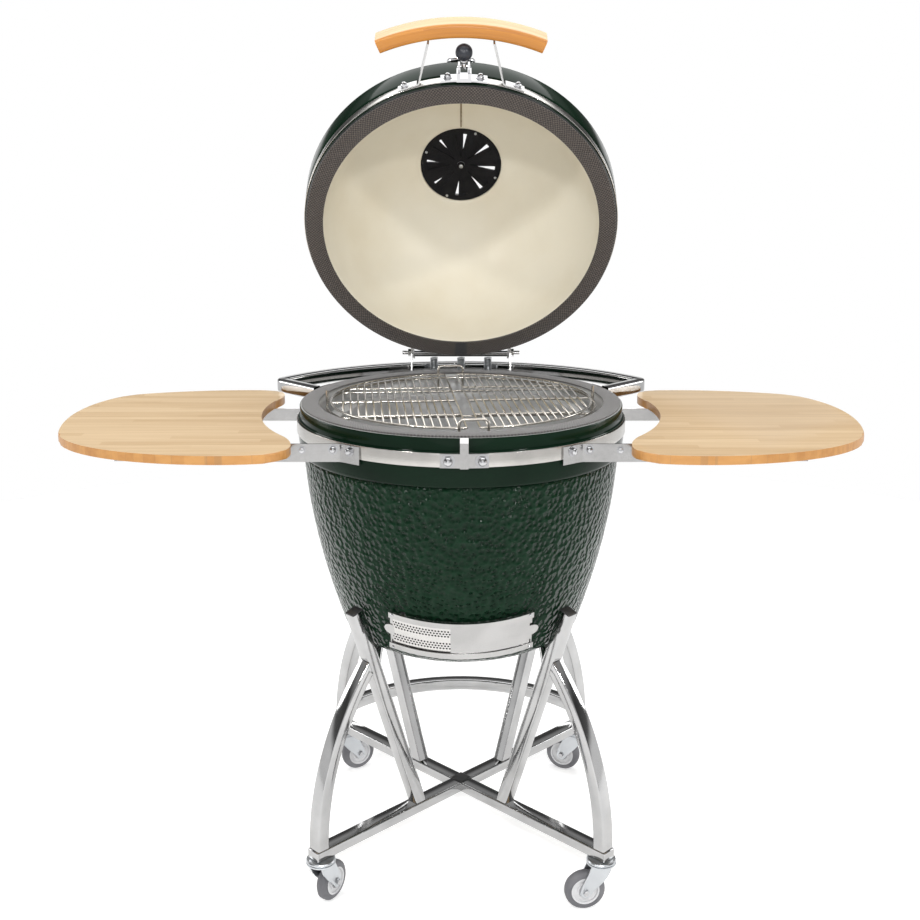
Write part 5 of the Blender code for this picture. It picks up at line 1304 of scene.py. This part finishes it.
# ---------------------------------------- cooking
@dataclass
class Cooking:
    """The wire rack and the two half-moon grates."""

    shop: Workshop
    repeats: Repeats
    rack_radius: float = 0.2484
    rack_wire: float = 0.0025
    grate_radius: float = 0.243
    grate_wire: float = 0.0021
    gap: float = 0.019
    bars: int = 16
    turn: float = 5.0

    def build(self) -> None:
        """Build the rack and both grates."""
        self.rack()
        for name, side in (("left", -1), ("right", 1)):
            self.grate(name, side)

    def place(self) -> Matrix:
        """The rim's level, turned as the grates lie."""
        turn = Matrix.Rotation(math.radians(self.turn), 4, "Z")
        return PLACE.base() @ Matrix.Translation((0, 0, RIM)) @ turn

    def rack(self) -> None:
        """A ring with cross bars, a post at each side, and handle loops front and rear."""
        pal, shop = self.shop.palette, self.shop
        wire = self.rack_wire
        high = -2.7 * self.grate_wire - 0.0003
        middle, foot = high - wire, wire + 0.0003 - 0.036
        place = self.place()
        ring = [around(self.rack_radius, 3.0 * i, middle) for i in range(120)]
        parts = [shop.wire("ring", ring, wire, pal.wire, place, True)]
        for side in (-1, 1):
            x = side * (self.rack_radius - wire / 4)
            bend = arc((-0.004, 0.004), 0.004, 0, -90, 5)
            post = [Vector((x, 0, 0.020))] + [Vector((x + side * p, 0, foot + q)) for p, q in bend]
            parts.append(shop.wire("post", post + [Vector((x - side * 0.020, 0, foot))], wire, pal.wire,
                                   place))
            half, top = 0.025, 0.016
            right = arc((half - 0.007, top - 0.007), 0.007, 0, 90, 6)
            loop = [(half, foot)] + right + [(-p, q) for p, q in right[::-1]] + [(-half, foot)]
            parts.append(shop.wire("loop", [Vector((p, x, q)) for p, q in loop], wire, pal.wire, place))
            row = side * self.rack_radius * 0.45
            reach = math.sqrt(self.rack_radius ** 2 - row ** 2)
            parts.append(shop.wire("cross", [Vector((-reach, row, middle)), Vector((reach, row, middle))],
                                   wire * 0.8, pal.wire, place))
        self.shop.finish(shop.merge("rack_wires", parts), "rack", "steel", "grate_rack")

    def grate(self, name: str, side: int) -> None:
        """Round bars inside a bent rim, on three cross bars."""
        pal, shop = self.shop.palette, self.shop
        wire, near = self.grate_wire, self.gap / 2
        place = self.place()
        start = math.degrees(math.acos(near / self.grate_radius))
        inner = self.grate_radius - wire
        rim = [Vector((side * x, y, 0)) for x, y in arc((0, 0), inner, -start + 0.9, start - 0.9, 72)]
        straight = [Vector((side * (near + wire), y, 0)) for y in (rim[0].y + 0.004, rim[-1].y - 0.004)]
        parts = [shop.wire("rim", rim + straight[::-1], wire, pal.wire, place, True)]
        pitch = (self.grate_radius - near - 2 * wire) / (self.bars + 0.6)
        bars = self.repeats.make("bars", self.repeats.bars, {
            "Count": self.bars - 1, "First": side * (near + wire + pitch), "Pitch": side * pitch,
            "Room": inner - wire * 0.3, "Radius": wire * 0.85, "Material": pal.wire}, place)
        parts.append(bars)
        for row in (-1, 0, 1):
            y = row * self.grate_radius * 0.5
            reach = math.sqrt((self.grate_radius - 2 * wire) ** 2 - y * y)
            ends = [Vector((side * (near + wire), y, -1.7 * wire)), Vector((side * reach, y, -1.7 * wire))]
            parts.append(shop.wire("cross", ends, wire, pal.wire, place))
        shop.finish(shop.merge(f"grate_{name}_wires", parts), f"grate_{name}", "steel", f"grate_half_{name}")


# ---------------------------------------- draft door
@dataclass
class DraftDoor:
    """The curved frame low on the bowl, with its punched screen and its solid door."""

    shop: Workshop
    repeats: Repeats
    tilt: float = 20.0
    curve: float = 0.262
    half_angle: float = 28.5
    height: float = 0.082
    sheet: float = 0.0013
    slack: float = 0.0003
    lip: float = 0.005
    window: tuple = (24.0, 0.052)
    panel: float = 0.066
    meet: float = 2.0

    def place(self) -> Matrix:
        """The tilted axis the plates are bent about, which is the one they slide round."""
        slide = next(joint for joint in frame["joints"] if joint["name"] == "draft_door_slide")
        return Matrix.Translation(slide["pos_m"]) @ Matrix.Rotation(math.radians(self.tilt), 4, "X")

    def build(self) -> None:
        """Build the frame, both panels and the corner screws."""
        pal, shop = self.shop.palette, self.shop
        place = self.place()
        back = place.inverted()
        tall, room = self.height / 2, self.panel / 2 + 0.0012
        rear, sheet = self.curve, self.sheet
        front = rear + 3 * sheet + 4 * self.slack
        channel = [(rear, -tall), (front + sheet, -tall), (front + sheet, self.lip - room),
                   (front, self.lip - room), (front, -room), (rear + sheet, -room), (rear + sheet, room),
                   (front, room), (front, room - self.lip), (front + sheet, room - self.lip),
                   (front + sheet, tall), (rear, tall)]
        frame_piece = shop.bent("draft_channel", channel, -self.half_angle, self.half_angle, pal.steel, place)
        angle, high = self.window
        opening = [(rear - 0.01, -high / 2), (rear + 0.003, -high / 2), (rear + 0.003, high / 2),
                   (rear - 0.01, high / 2)]
        hole = shop.bent("window", opening, -angle, angle, pal.steel, place, 3.0)
        shop.finish(shop.cut(frame_piece, hole), "grill", "steel", "draft_frame")
        for name, layer, side, finish in (("screen", 0, -1, pal.punched), ("door", 1, 1, pal.steel)):
            inner = rear + sheet + self.slack + layer * (sheet + self.slack)
            inmost, outmost = -side * self.meet - 2.0 * layer, side * (self.half_angle - 1.5)
            section = [(x + inner + sheet / 2, y) for x, y in rounded(sheet, self.panel, 0.0004, 1)]
            slab = shop.bent("slab", section, inmost, outmost, finish, place)
            shop.remap(slab, back, lambda p: (math.atan2(p.x, -p.y) * rear, p.z))
            rings = []
            for index in range(13):
                share = index / 12
                tall_here = 0.0112 * math.sqrt(max(0.01, 1 - max(0.0, share - 0.25) ** 2 / 0.5625))
                azimuth = outmost + side * (-0.5 + 4.5 * share)
                rings.append([around(inner + x, azimuth, y - 0.001) for x, y in
                              ((0, -tall_here), (sheet, -tall_here), (sheet, tall_here), (0, tall_here))])
            tab = shop.loft("tab", rings, pal.steel, place)
            shop.finish(shop.merge(f"draft_{name}_sheet", [slab, tab]), f"draft_{name}_panel", "steel",
                        f"draft_{name}")
        for side in (-1, 1):
            azimuth = side * (self.half_angle - 1.6)
            points = [around(front + sheet, azimuth, up * (tall - 0.0035)) for up in (-1, 1)]
            screws = self.repeats.heads(f"draft_screws_{'left' if side < 0 else 'right'}", Head.SCREW, points,
                                        around(1, azimuth), 0.0030, 0.0024, pal.chrome, place)
            shop.finish(screws, "grill", "chrome")


# ---------------------------------------- shelves
@dataclass
class Shelves:
    """The two folding bamboo shelves and the fasteners of their brackets."""

    shop: Workshop
    repeats: Repeats
    top: float = 0.878
    thick: float = 0.015
    cut_radius: float = 0.368
    reach: float = 0.346
    front: float = -0.347
    rear: float = 0.192
    soften: float = 0.0032
    bracket_proud: float = 0.0042
    bolts: tuple = ((0.3085, 0.8505), (0.2700, 0.8600))
    nut_azimuth: float = 37.6
    nut_radius: float = 0.3081
    nut_x: float = 0.2170
    nut_level: float = 0.861
    screws: tuple = (0.352, 0.425, 0.500, 0.572)
    screw_level: float = 0.8515

    def outline(self) -> list[tuple]:
        """The right shelf: concave towards the egg, one big round nose outwards."""
        cut, nose = self.cut_radius, self.cut_radius + self.reach
        middle, depth = (self.front + self.rear) / 2, (self.rear - self.front) / 2
        edge = arc((0, 0), cut, 14, -34, 28)
        tip, heel = (cut * 0.785, self.front + 0.085), (cut * 0.955, self.rear - 0.068)
        corner, bow = (cut * 0.90, self.front + 0.010), (nose - 0.020, middle - 0.42 * depth)
        back, heel_start = (nose - 0.062, middle + 0.80 * depth), (cut + 0.010, self.rear - 0.008)
        points = edge[1:]
        points += bezier(edge[-1], (tip[0] - 0.012, tip[1] + 0.010), (tip[0] - 0.022, self.front + 0.020),
                         corner, 16)[1:]
        points += bezier(corner, (cut * 1.20, self.front - 0.012), (nose - 0.075, middle - 0.92 * depth),
                         bow, 20)[1:]
        points += bezier(bow, (nose + 0.010, middle - 0.02 * depth), (nose + 0.012, middle + 0.50 * depth),
                         back, 20)[1:]
        points += bezier(back, (nose - 0.130, self.rear - 0.018), (nose - 0.250, self.rear + 0.002),
                         heel_start, 16)[1:]
        points += bezier(heel_start, (heel[0] - 0.008, self.rear - 0.014),
                         (heel[0] - 0.012, heel[1] - 0.010), edge[0], 16)[1:]
        return points

    def build(self) -> None:
        """Build both shelves and their fasteners."""
        pal, shop = self.shop.palette, self.shop
        place = PLACE.base() @ Matrix.Translation((0, 0, self.top - self.thick / 2))
        outline = self.outline()
        for name, side in (("left", -1), ("right", 1)):
            points = [(side * x, y) for x, y in outline][::side]
            leaf = shop.plate(f"leaf_{name}", points, self.thick, pal.bamboo, place, self.soften, 4,
                              pal.bamboo_edge)
            shop.finish(leaf, f"shelf_{name}_leaf", "bamboo", f"shelf_{name}")
            self.fasteners(name, side)

    def fasteners(self, name: str, side: int) -> None:
        """Bolts through the brackets and screws along the arms."""
        pal, shop, make = self.shop.palette, self.shop, self.repeats.heads
        for end, facing_y in (("front", -1), ("rear", 1)):
            arm_low, arm_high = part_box(f"shelf_arm_{name}_{end}")
            face = arm_low[1] if facing_y < 0 else arm_high[1]
            at_y = face + facing_y * self.bracket_proud
            spots = self.bolts if end == "front" else self.bolts[:1]
            bolts = [Vector((side * x, at_y, z)) for x, z in spots]
            heads = make(f"bolts_{name}_{end}", Head.BOLT, bolts, (0, facing_y, 0), 0.0052, 0.0050,
                         pal.chrome)
            shop.finish(heads, "grill", "chrome")
            if end == "front":
                azimuth = side * self.nut_azimuth
                flat = Vector((side * self.nut_x, at_y - PLACE.axis_y, self.nut_level))
                for which, spot, axis in (
                        ("inner", around(self.nut_radius, azimuth, self.nut_level), around(1, azimuth)),
                        ("outer", flat, Vector((0, -1, 0)))):
                    nut = make(f"nut_bracket_{name}_{which}", Head.DOME_NUT, [spot], axis, 0.0066, 0.0090,
                               pal.chrome, PLACE.base())
                    shop.finish(nut, "grill", "chrome")
            screws = [Vector((side * x, face, self.screw_level)) for x in self.screws]
            row = make(f"screws_{name}_{end}", Head.SCREW, screws, (0, facing_y, 0), 0.0034, 0.0022,
                       pal.chrome)
            shop.finish(row, f"shelf_{name}_leaf", "chrome")


# ---------------------------------------- stand
@dataclass
class Stand:
    """Push bar, crossed arms, uprights, legs and rails, all of polished square tube."""

    shop: Workshop
    repeats: Repeats
    band: float = Egg.band
    push_tube: float = 0.025
    push_corner: tuple = (0.363, 0.2006)
    push_rear: float = 0.392
    push_azimuth: float = 113.0
    cross_top: float = 0.120
    cross_size: tuple = (0.030, 0.020)
    cross_reach: float = 0.380
    tube_size: float = 0.025
    upright_foot: float = 0.121
    upright_top: float = 0.552
    leg_size: tuple = (0.025, 0.028)
    leg_curve: float = 0.489
    leg_centre: tuple = (-0.124, 0.115)
    rail: float = 0.020
    rail_level: float = 0.4257
    rear_rail: tuple = (0.3234, 0.0896, 0.139)

    def build(self) -> None:
        """Build every tube of the stand."""
        self.push_bar()
        self.cross()
        for corner, azimuth in (("front_left", -45.0), ("front_right", 45.0), ("rear_left", -135.0),
                                ("rear_right", 135.0)):
            self.corner(corner, azimuth)
        self.rails()

    def lean(self) -> float:
        """How far the uprights lean outwards, from where their tops stand."""
        low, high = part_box("cradle_upright_front_right")
        reach = math.hypot(high[0], low[1] - PLACE.axis_y)
        return math.atan2(reach - self.tube_size * 0.62 - self.upright_foot,
                          self.upright_top - self.cross_top)

    def push_bar(self) -> None:
        """A square tube bent round the back, its ends bolted to the band."""
        pal, shop = self.shop.palette, self.shop
        x, y = self.push_corner
        start = around(self.band + 0.0012, self.push_azimuth)
        rise = self.push_rear - y
        radius = (x * x + rise * rise) / (2 * rise)
        centre = self.push_rear - radius
        half = math.atan2(x, y - centre)
        leg = (Vector((x, y, 0)) - start).normalized()
        arrive = Vector((-math.cos(half), math.sin(half), 0))
        corner, setback = Vector((x, y, 0)), 0.016
        turn = bezier((corner - leg * setback).xy, (corner - leg * setback * 0.4).xy,
                      (corner + arrive * setback * 0.4).xy, (corner + arrive * setback).xy, 12)
        trim = math.degrees(setback / radius) * 1.05
        bow = arc((0, centre), radius, 90 - math.degrees(half) + trim, 90, 40)
        right = [tuple(start.xy)] + turn + bow[1:]
        path = right + [(-px, py) for px, py in right[-2::-1]]
        out = around(1.0, self.push_azimuth)
        place = PLACE.base() @ Matrix.Translation((0, 0, RIM - self.push_tube / 2 - 0.001))
        section = rounded(self.push_tube, self.push_tube, 0.0035, 3)
        parts = [shop.tube("bar", path, section, pal.tube, place, ((out.x, out.y), (out.x, -out.y)))]
        for side in (-1, 1):
            plate = [(x + self.band + 0.0018, z + RIM - 0.028) for x, z in rounded(0.003, 0.048, 0.0008, 1)]
            parts.append(shop.bent("foot", plate, side * (self.push_azimuth + 1.7),
                                   side * (self.push_azimuth + 9.0), pal.tube, PLACE.base()))
        shop.finish(shop.merge("push_bar", parts), "grill", "steel", "rear_push_bar")
        for name, side in (("left", -1), ("right", 1)):
            azimuth = side * (self.push_azimuth + 6.6)
            points = [around(self.band + 0.0033, azimuth, RIM - z) for z in (0.014, 0.040)]
            bolts = self.repeats.heads(f"bolts_push_{name}", Head.BOLT, points, around(1, azimuth), 0.0050,
                                       0.0045, pal.chrome, PLACE.base())
            shop.finish(bolts, "grill", "chrome")

    def cross(self) -> None:
        """The crossed arms with their end plugs, and the cap over their middle."""
        pal, shop = self.shop.palette, self.shop
        width, height = self.cross_size
        middle = PLACE.base() @ Matrix.Translation((0, 0, self.cross_top - height / 2))
        parts = []
        for turn in (45.0, 135.0):
            place = middle @ Matrix.Rotation(math.radians(turn), 4, "Z")
            end = self.cross_reach - 0.0025
            parts.append(shop.tube("arm", [(-end, 0), (end, 0)], rounded(width, height, 0.0028, 3),
                                   pal.tube, place))
            for side in (-1, 1):
                parts.append(shop.box("plug", (0.0050, width - 0.0008, height - 0.0008), pal.tube,
                                      place @ Matrix.Translation((side * (end + 0.0002), 0, 0)), 0.0018))
        shop.finish(shop.merge("crossed_arms", parts), "grill", "steel", "cross_frame")
        seat = middle @ Matrix.Translation((0, 0, height / 2 + 0.0010)) @ Matrix.Rotation(math.pi / 4, 4, "Z")
        cap = shop.box("cross_cap", (0.029, 0.029, 0.0030), pal.black, seat, 0.0012)
        shop.finish(cap, "grill", "steel")

    def corner(self, name: str, azimuth: float) -> None:
        """One upright with its cap, and the curved leg that meets it."""
        pal, shop = self.shop.palette, self.shop
        plane = PLACE.base() @ axes((0, 0, 0), around(1.0, azimuth), (0, 0, 1))
        lean = self.lean()
        run = Vector((math.sin(lean), math.cos(lean)))
        foot = Vector((self.upright_foot, self.cross_top + 0.0003))
        top = foot + run * ((self.upright_top - self.cross_top) / run.y)
        section = rounded(self.tube_size, self.tube_size, 0.0030, 3)
        post = shop.tube("post", [tuple(foot), tuple(top)], section, pal.tube, plane, ((0, 1), None))
        cap = shop.box("cap", (self.tube_size - 0.001, 0.0040, self.tube_size - 0.001), pal.black,
                       plane @ Matrix.Translation((*top, 0)) @ Matrix.Rotation(-lean, 4, "Z"), 0.0014)
        shop.finish(shop.merge(f"upright_{name}", [post, cap]), "grill", "steel", f"cradle_upright_{name}")
        deep, wide = self.leg_size
        side = Vector((run.y, -run.x))
        cx, cz = self.leg_centre
        path, angle = [], math.degrees(math.asin((self.cross_top + 0.0003 - cz) / self.leg_curve))
        while angle < 75:
            point = Vector((cx + self.leg_curve * math.cos(math.radians(angle)),
                            cz + self.leg_curve * math.sin(math.radians(angle))))
            if (point - foot).dot(side) < self.tube_size / 2 + 0.0003:
                break
            path.append(tuple(point))
            angle += 0.5
        leg = shop.tube("leg", path, rounded(deep, wide, 0.0032, 3), pal.tube, plane, ((0, 1), tuple(-side)))
        shop.finish(self.shop.merge(f"leg_{name}", [leg]), "grill", "steel", f"curved_leg_{name}")

    def rails(self) -> None:
        """The side rails under the bowl and the bowed rail between the rear legs."""
        pal, shop = self.shop.palette, self.shop
        lean = self.lean()
        reach = (self.upright_foot + (self.rail_level - self.cross_top) * math.tan(lean)) * math.sqrt(0.5)
        place = PLACE.base() @ Matrix.Translation((0, 0, self.rail_level))
        for name, side in (("left", -1), ("right", 1)):
            rail = shop.tube("rail", [(side * reach, -reach), (side * reach, reach)],
                             rounded(self.rail, self.rail, 0.0025, 3), pal.tube, place)
            shop.finish(shop.merge(f"rail_{name}", [rail]), "grill", "steel", f"side_rail_{name}")
        radius, centre, level = self.rear_rail
        edge = self.leg_size[1] / 2 + 0.0003
        ends = [a for a in range(280, 1520) if self._rail_offset(a / 10, radius, centre) > edge]
        path = arc((0, centre), radius, ends[0] / 10, ends[-1] / 10, 80)
        slope = math.sqrt(0.5)
        rail = shop.tube("rear_rail", path, rounded(self.tube_size, self.tube_size, 0.0030, 3), pal.tube,
                         PLACE.base() @ Matrix.Translation((0, 0, level)),
                         ((-slope, slope), (-slope, -slope)))
        shop.finish(shop.merge("rail_rear", [rail]), "grill", "steel", "rear_arc_rail")

    @staticmethod
    def _rail_offset(turn: float, radius: float, centre: float) -> float:
        """How far behind the nearer rear leg's middle plane a point of the rear rail lies."""
        x, y = radius * math.cos(math.radians(turn)), centre + radius * math.sin(math.radians(turn))
        return (y - abs(x)) * math.sqrt(0.5)


@dataclass
class Caster:
    """A swivel caster: race, fork, axle and wheel."""

    shop: Workshop
    repeats: Repeats
    corner: str
    azimuth: float
    heading: float
    braked: bool = False
    stem: float = 0.362
    race_top: float = 0.0997
    race_thick: float = 0.012
    race: float = 0.027
    wheel: float = 0.0375
    width: float = 0.022
    trail: float = 0.030
    cheek: float = 0.003
    clear: float = 0.0122

    def build(self) -> None:
        """Build the fork and the wheel."""
        pal, shop = self.shop.palette, self.shop
        stem = PLACE.base() @ around(self.stem, self.azimuth)
        angle = math.radians(self.heading)
        trail = Vector((math.cos(angle), math.sin(angle), 0))
        across = trail.cross(Vector((0, 0, 1)))
        place = axes(stem, trail, (0, 0, 1))
        top, low = self.race_top, self.race_top - self.race_thick
        race = [(0, top), (self.race * 0.70, top), (self.race * 0.95, top - 0.001), (self.race, top - 0.003),
                (self.race, top - 0.0052), (self.race * 0.93, top - 0.0058), (self.race * 0.93, top - 0.0068),
                (self.race, top - 0.0074), (self.race, low + 0.002), (self.race * 0.9, low), (0, low)]
        parts = [shop.revolve("race", race, [(0, pal.zinc)], Matrix.Translation(stem), 40, closed=False)]
        hub = self.wheel
        cheek = bezier((-0.017, low + 0.002), (-0.014, low - 0.022), (self.trail - 0.024, hub + 0.012),
                       (self.trail - 0.012, hub), 10)
        cheek += arc((self.trail, hub), 0.011, 190, 350, 10)
        cheek += bezier((self.trail + 0.011, hub + 0.002), (self.trail + 0.006, hub + 0.022),
                        (0.024, low - 0.012), (0.021, low + 0.002), 10)
        for side in (-1, 1):
            move = Matrix.Translation(across * side * (self.clear + self.cheek / 2))
            parts.append(shop.plate("cheek", cheek, self.cheek, pal.zinc, move @ place, 0.0007, 2))
        centre = stem + trail * self.trail + Vector((0, 0, hub))
        half = self.clear + self.cheek + 0.0038
        axle = [(0, -half), (0.0052, -half), (0.0058, -half + 0.0008), (0.0058, -self.clear - self.cheek),
                (0.0040, -self.clear - self.cheek), (0.0040, self.clear + self.cheek),
                (0.0058, self.clear + self.cheek), (0.0058, half - 0.0008), (0.0052, half), (0, half)]
        parts.append(shop.revolve("axle", axle, [(0, pal.chrome)], facing(centre, across), 6, closed=False))
        if self.braked:
            above = Matrix.Translation((self.trail + 0.001, low - 0.010, 0))
            lever = place @ above @ Matrix.Rotation(-0.35, 4, "Z")
            parts.append(shop.box("brake", (0.026, 0.0025, 0.020), pal.black, lever, 0.0008))
        shop.finish(shop.merge(f"fork_{self.corner}_steel", parts), f"fork_{self.corner}", "zinc",
                    f"caster_fork_{self.corner}")
        wide, r = self.width / 2, self.wheel
        right = [(0.0046, 0.0), (0.0046, wide - 0.001), (0.0080, wide - 0.001), (0.0084, wide - 0.003),
                 (0.0125, wide - 0.003), (0.0130, wide - 0.0006), (0.0150, wide - 0.0006),
                 (0.0155, wide - 0.0032), (0.0220, wide - 0.0032), (0.0225, wide - 0.0006),
                 (0.0258, wide - 0.0004)]
        tread = [(0.0262, wide - 0.0012), (0.0300, wide - 0.0008), (0.0340, wide - 0.0024),
                 (0.0368, wide - 0.0050), (r, wide - 0.0075), (r, 0.0)]
        half_profile = right + tread
        profile = half_profile + [(p, -q) for p, q in half_profile[-2:0:-1]]
        zones = [(0, pal.hub), (len(right) - 1, pal.tyre), (len(right) - 1 + 2 * len(tread) - 1, pal.hub)]
        wheel = shop.revolve("wheel", profile, zones, facing(centre, across), 56, sharp=50.0)
        shop.finish(shop.merge(f"wheel_{self.corner}_tyre", [wheel]), f"wheel_{self.corner}", "tyre",
                    f"caster_wheel_{self.corner}")


# ---------------------------------------- kept solids
class Kept:
    """Gives the solids that keep their shape their finishes, and adds the fasteners of the base."""

    def __init__(self, shop: Workshop, repeats: Repeats) -> None:
        """Keep the shop and the trees."""
        self.shop, self.repeats = shop, repeats

    def build(self) -> None:
        """Dress each kept solid."""
        pal = self.shop.palette
        finishes = {"vent_collar": pal.vent, "daisy_wheel": pal.vent, "charcoal_grate": pal.iron,
                    "fire_box": pal.fire_clay, "latch_bracket": pal.chrome, "latch_striker": pal.steel,
                    "hinge_lid_bracket": pal.steel, "hinge_base_bracket": pal.steel,
                    "handle_arm_left": pal.steel, "handle_arm_right": pal.steel}
        for side in ("left", "right"):
            for end in ("front", "rear"):
                finishes[f"shelf_arm_{side}_{end}"] = pal.steel
                finishes[f"shelf_bracket_{side}_{end}"] = pal.steel
        for name, material in finishes.items():
            for place in frame["nodes"][name].material_slots:
                place.material = material
            LOG.info("%s keeps its shape, in %s", name, material.name)
        for name, x in (("left", -0.021), ("right", 0.034)):
            azimuth = math.degrees(math.asin(x / Egg.band))
            spot = around(Egg.band + 0.0033, azimuth, RIM - 0.040)
            nut = self.repeats.heads(f"nut_striker_{name}", Head.DOME_NUT, [spot], around(1, azimuth),
                                     0.0088, 0.0120, pal.chrome, PLACE.base())
            self.shop.finish(nut, "grill", "chrome")


# ---------------------------------------- the set
@dataclass
class Studio:
    """Pale floor, soft lights and the camera."""

    camera_at: tuple = (-0.002, -2.3766, 1.3909)
    camera_pitch: float = 75.35
    lens: float = 50.0
    floor: float = 2.9
    glow: float = 0.42
    aim: float = 0.7
    bands: tuple = ((0.0, 1.0), (0.12, 1.0), (0.20, 0.13), (0.42, 0.06), (0.55, 0.42), (0.72, 0.16),
                    (1.0, 0.5))
    lights: tuple = (((0.0, 0.6, 3.4), 4.0, 88.0), ((0.0, -3.4, 1.9), 3.0, 15.0),
                     ((-1.7, -2.2, 2.7), 0.26, 27.0), ((1.8, -2.0, 2.5), 0.26, 21.0),
                     ((0.1, -3.0, 2.2), 0.22, 30.0), ((-2.6, 0.6, 1.3), 0.9, 14.0),
                     ((2.6, 0.6, 1.3), 0.9, 14.0))

    def build(self) -> None:
        """Set the floor, world, lights and camera."""
        shape = bmesh.new()
        bmesh.ops.create_circle(shape, cap_ends=True, segments=96, radius=self.floor)
        mesh = bpy.data.meshes.new("floor")
        shape.to_mesh(mesh)
        shape.free()
        floor = enter("floor", mesh)
        paper = Surface("floor_paper", Roughness=0.7, Base_Color=(0.86, 0.86, 0.86, 1.0),
                        Specular_IOR_Level=0.0, Emission_Color=(1.0, 1.0, 1.0, 1.0),
                        Emission_Strength=self.glow)
        mesh.materials.append(paper.material)
        world = bpy.data.worlds.new("studio")
        world.use_nodes = True
        sky = world.node_tree
        where = sky.nodes.new("ShaderNodeTexCoord")
        split = sky.nodes.new("ShaderNodeSeparateXYZ")
        bands = sky.nodes.new("ShaderNodeValToRGB")
        for index, (height, level) in enumerate(self.bands):
            stop = bands.color_ramp.elements[index] if index < 2 else bands.color_ramp.elements.new(height)
            stop.position, stop.color = height, (level, level, level, 1.0)
        sky.links.new(where.outputs["Generated"], split.inputs[0])
        sky.links.new(split.outputs["Z"], bands.inputs["Fac"])
        sky.links.new(bands.outputs["Color"], sky.nodes["Background"].inputs["Color"])
        bpy.context.scene.view_settings.view_transform = "Standard"
        bpy.context.scene.world = world
        for index, (place, size, power) in enumerate(self.lights):
            lamp = bpy.data.lights.new(f"softbox_{index}", "AREA")
            lamp.shape, lamp.size, lamp.energy = "DISK", size, power
            holder = enter(lamp.name, lamp)
            towards = Vector((0, 0, self.aim)) - Vector(place)
            turn = towards.to_track_quat("-Z", "Y").to_matrix().to_4x4()
            holder.matrix_world = Matrix.Translation(place) @ turn
        lens = bpy.data.cameras.new("camera")
        lens.lens, lens.sensor_width = self.lens, 36.0
        camera = enter("camera", lens)
        camera.location = self.camera_at
        camera.rotation_euler = (math.radians(self.camera_pitch), 0.0, 0.0)
        bpy.context.scene.camera = camera


def main() -> None:
    """Build the whole grill and its set."""
    logging.basicConfig(level=logging.INFO, format="%(name)s: %(message)s", stream=sys.stdout)
    Studio().build()
    shop = Workshop(Palette())
    repeats = Repeats(shop)
    for kind in (Egg, Lid, Latch, Hinge, Cooking, DraftDoor, Shelves, Stand):
        kind(shop, repeats).build()
    for corner, azimuth, heading, braked in (("front_left", -45.0, 60.0, False),
                                             ("front_right", 45.0, 188.0, False),
                                             ("rear_left", -135.0, 32.0, False),
                                             ("rear_right", 135.0, 156.0, True)):
        Caster(shop, repeats, corner, azimuth, heading, braked).build()
    Kept(shop, repeats).build()


if __name__ == "__main__":
    main()
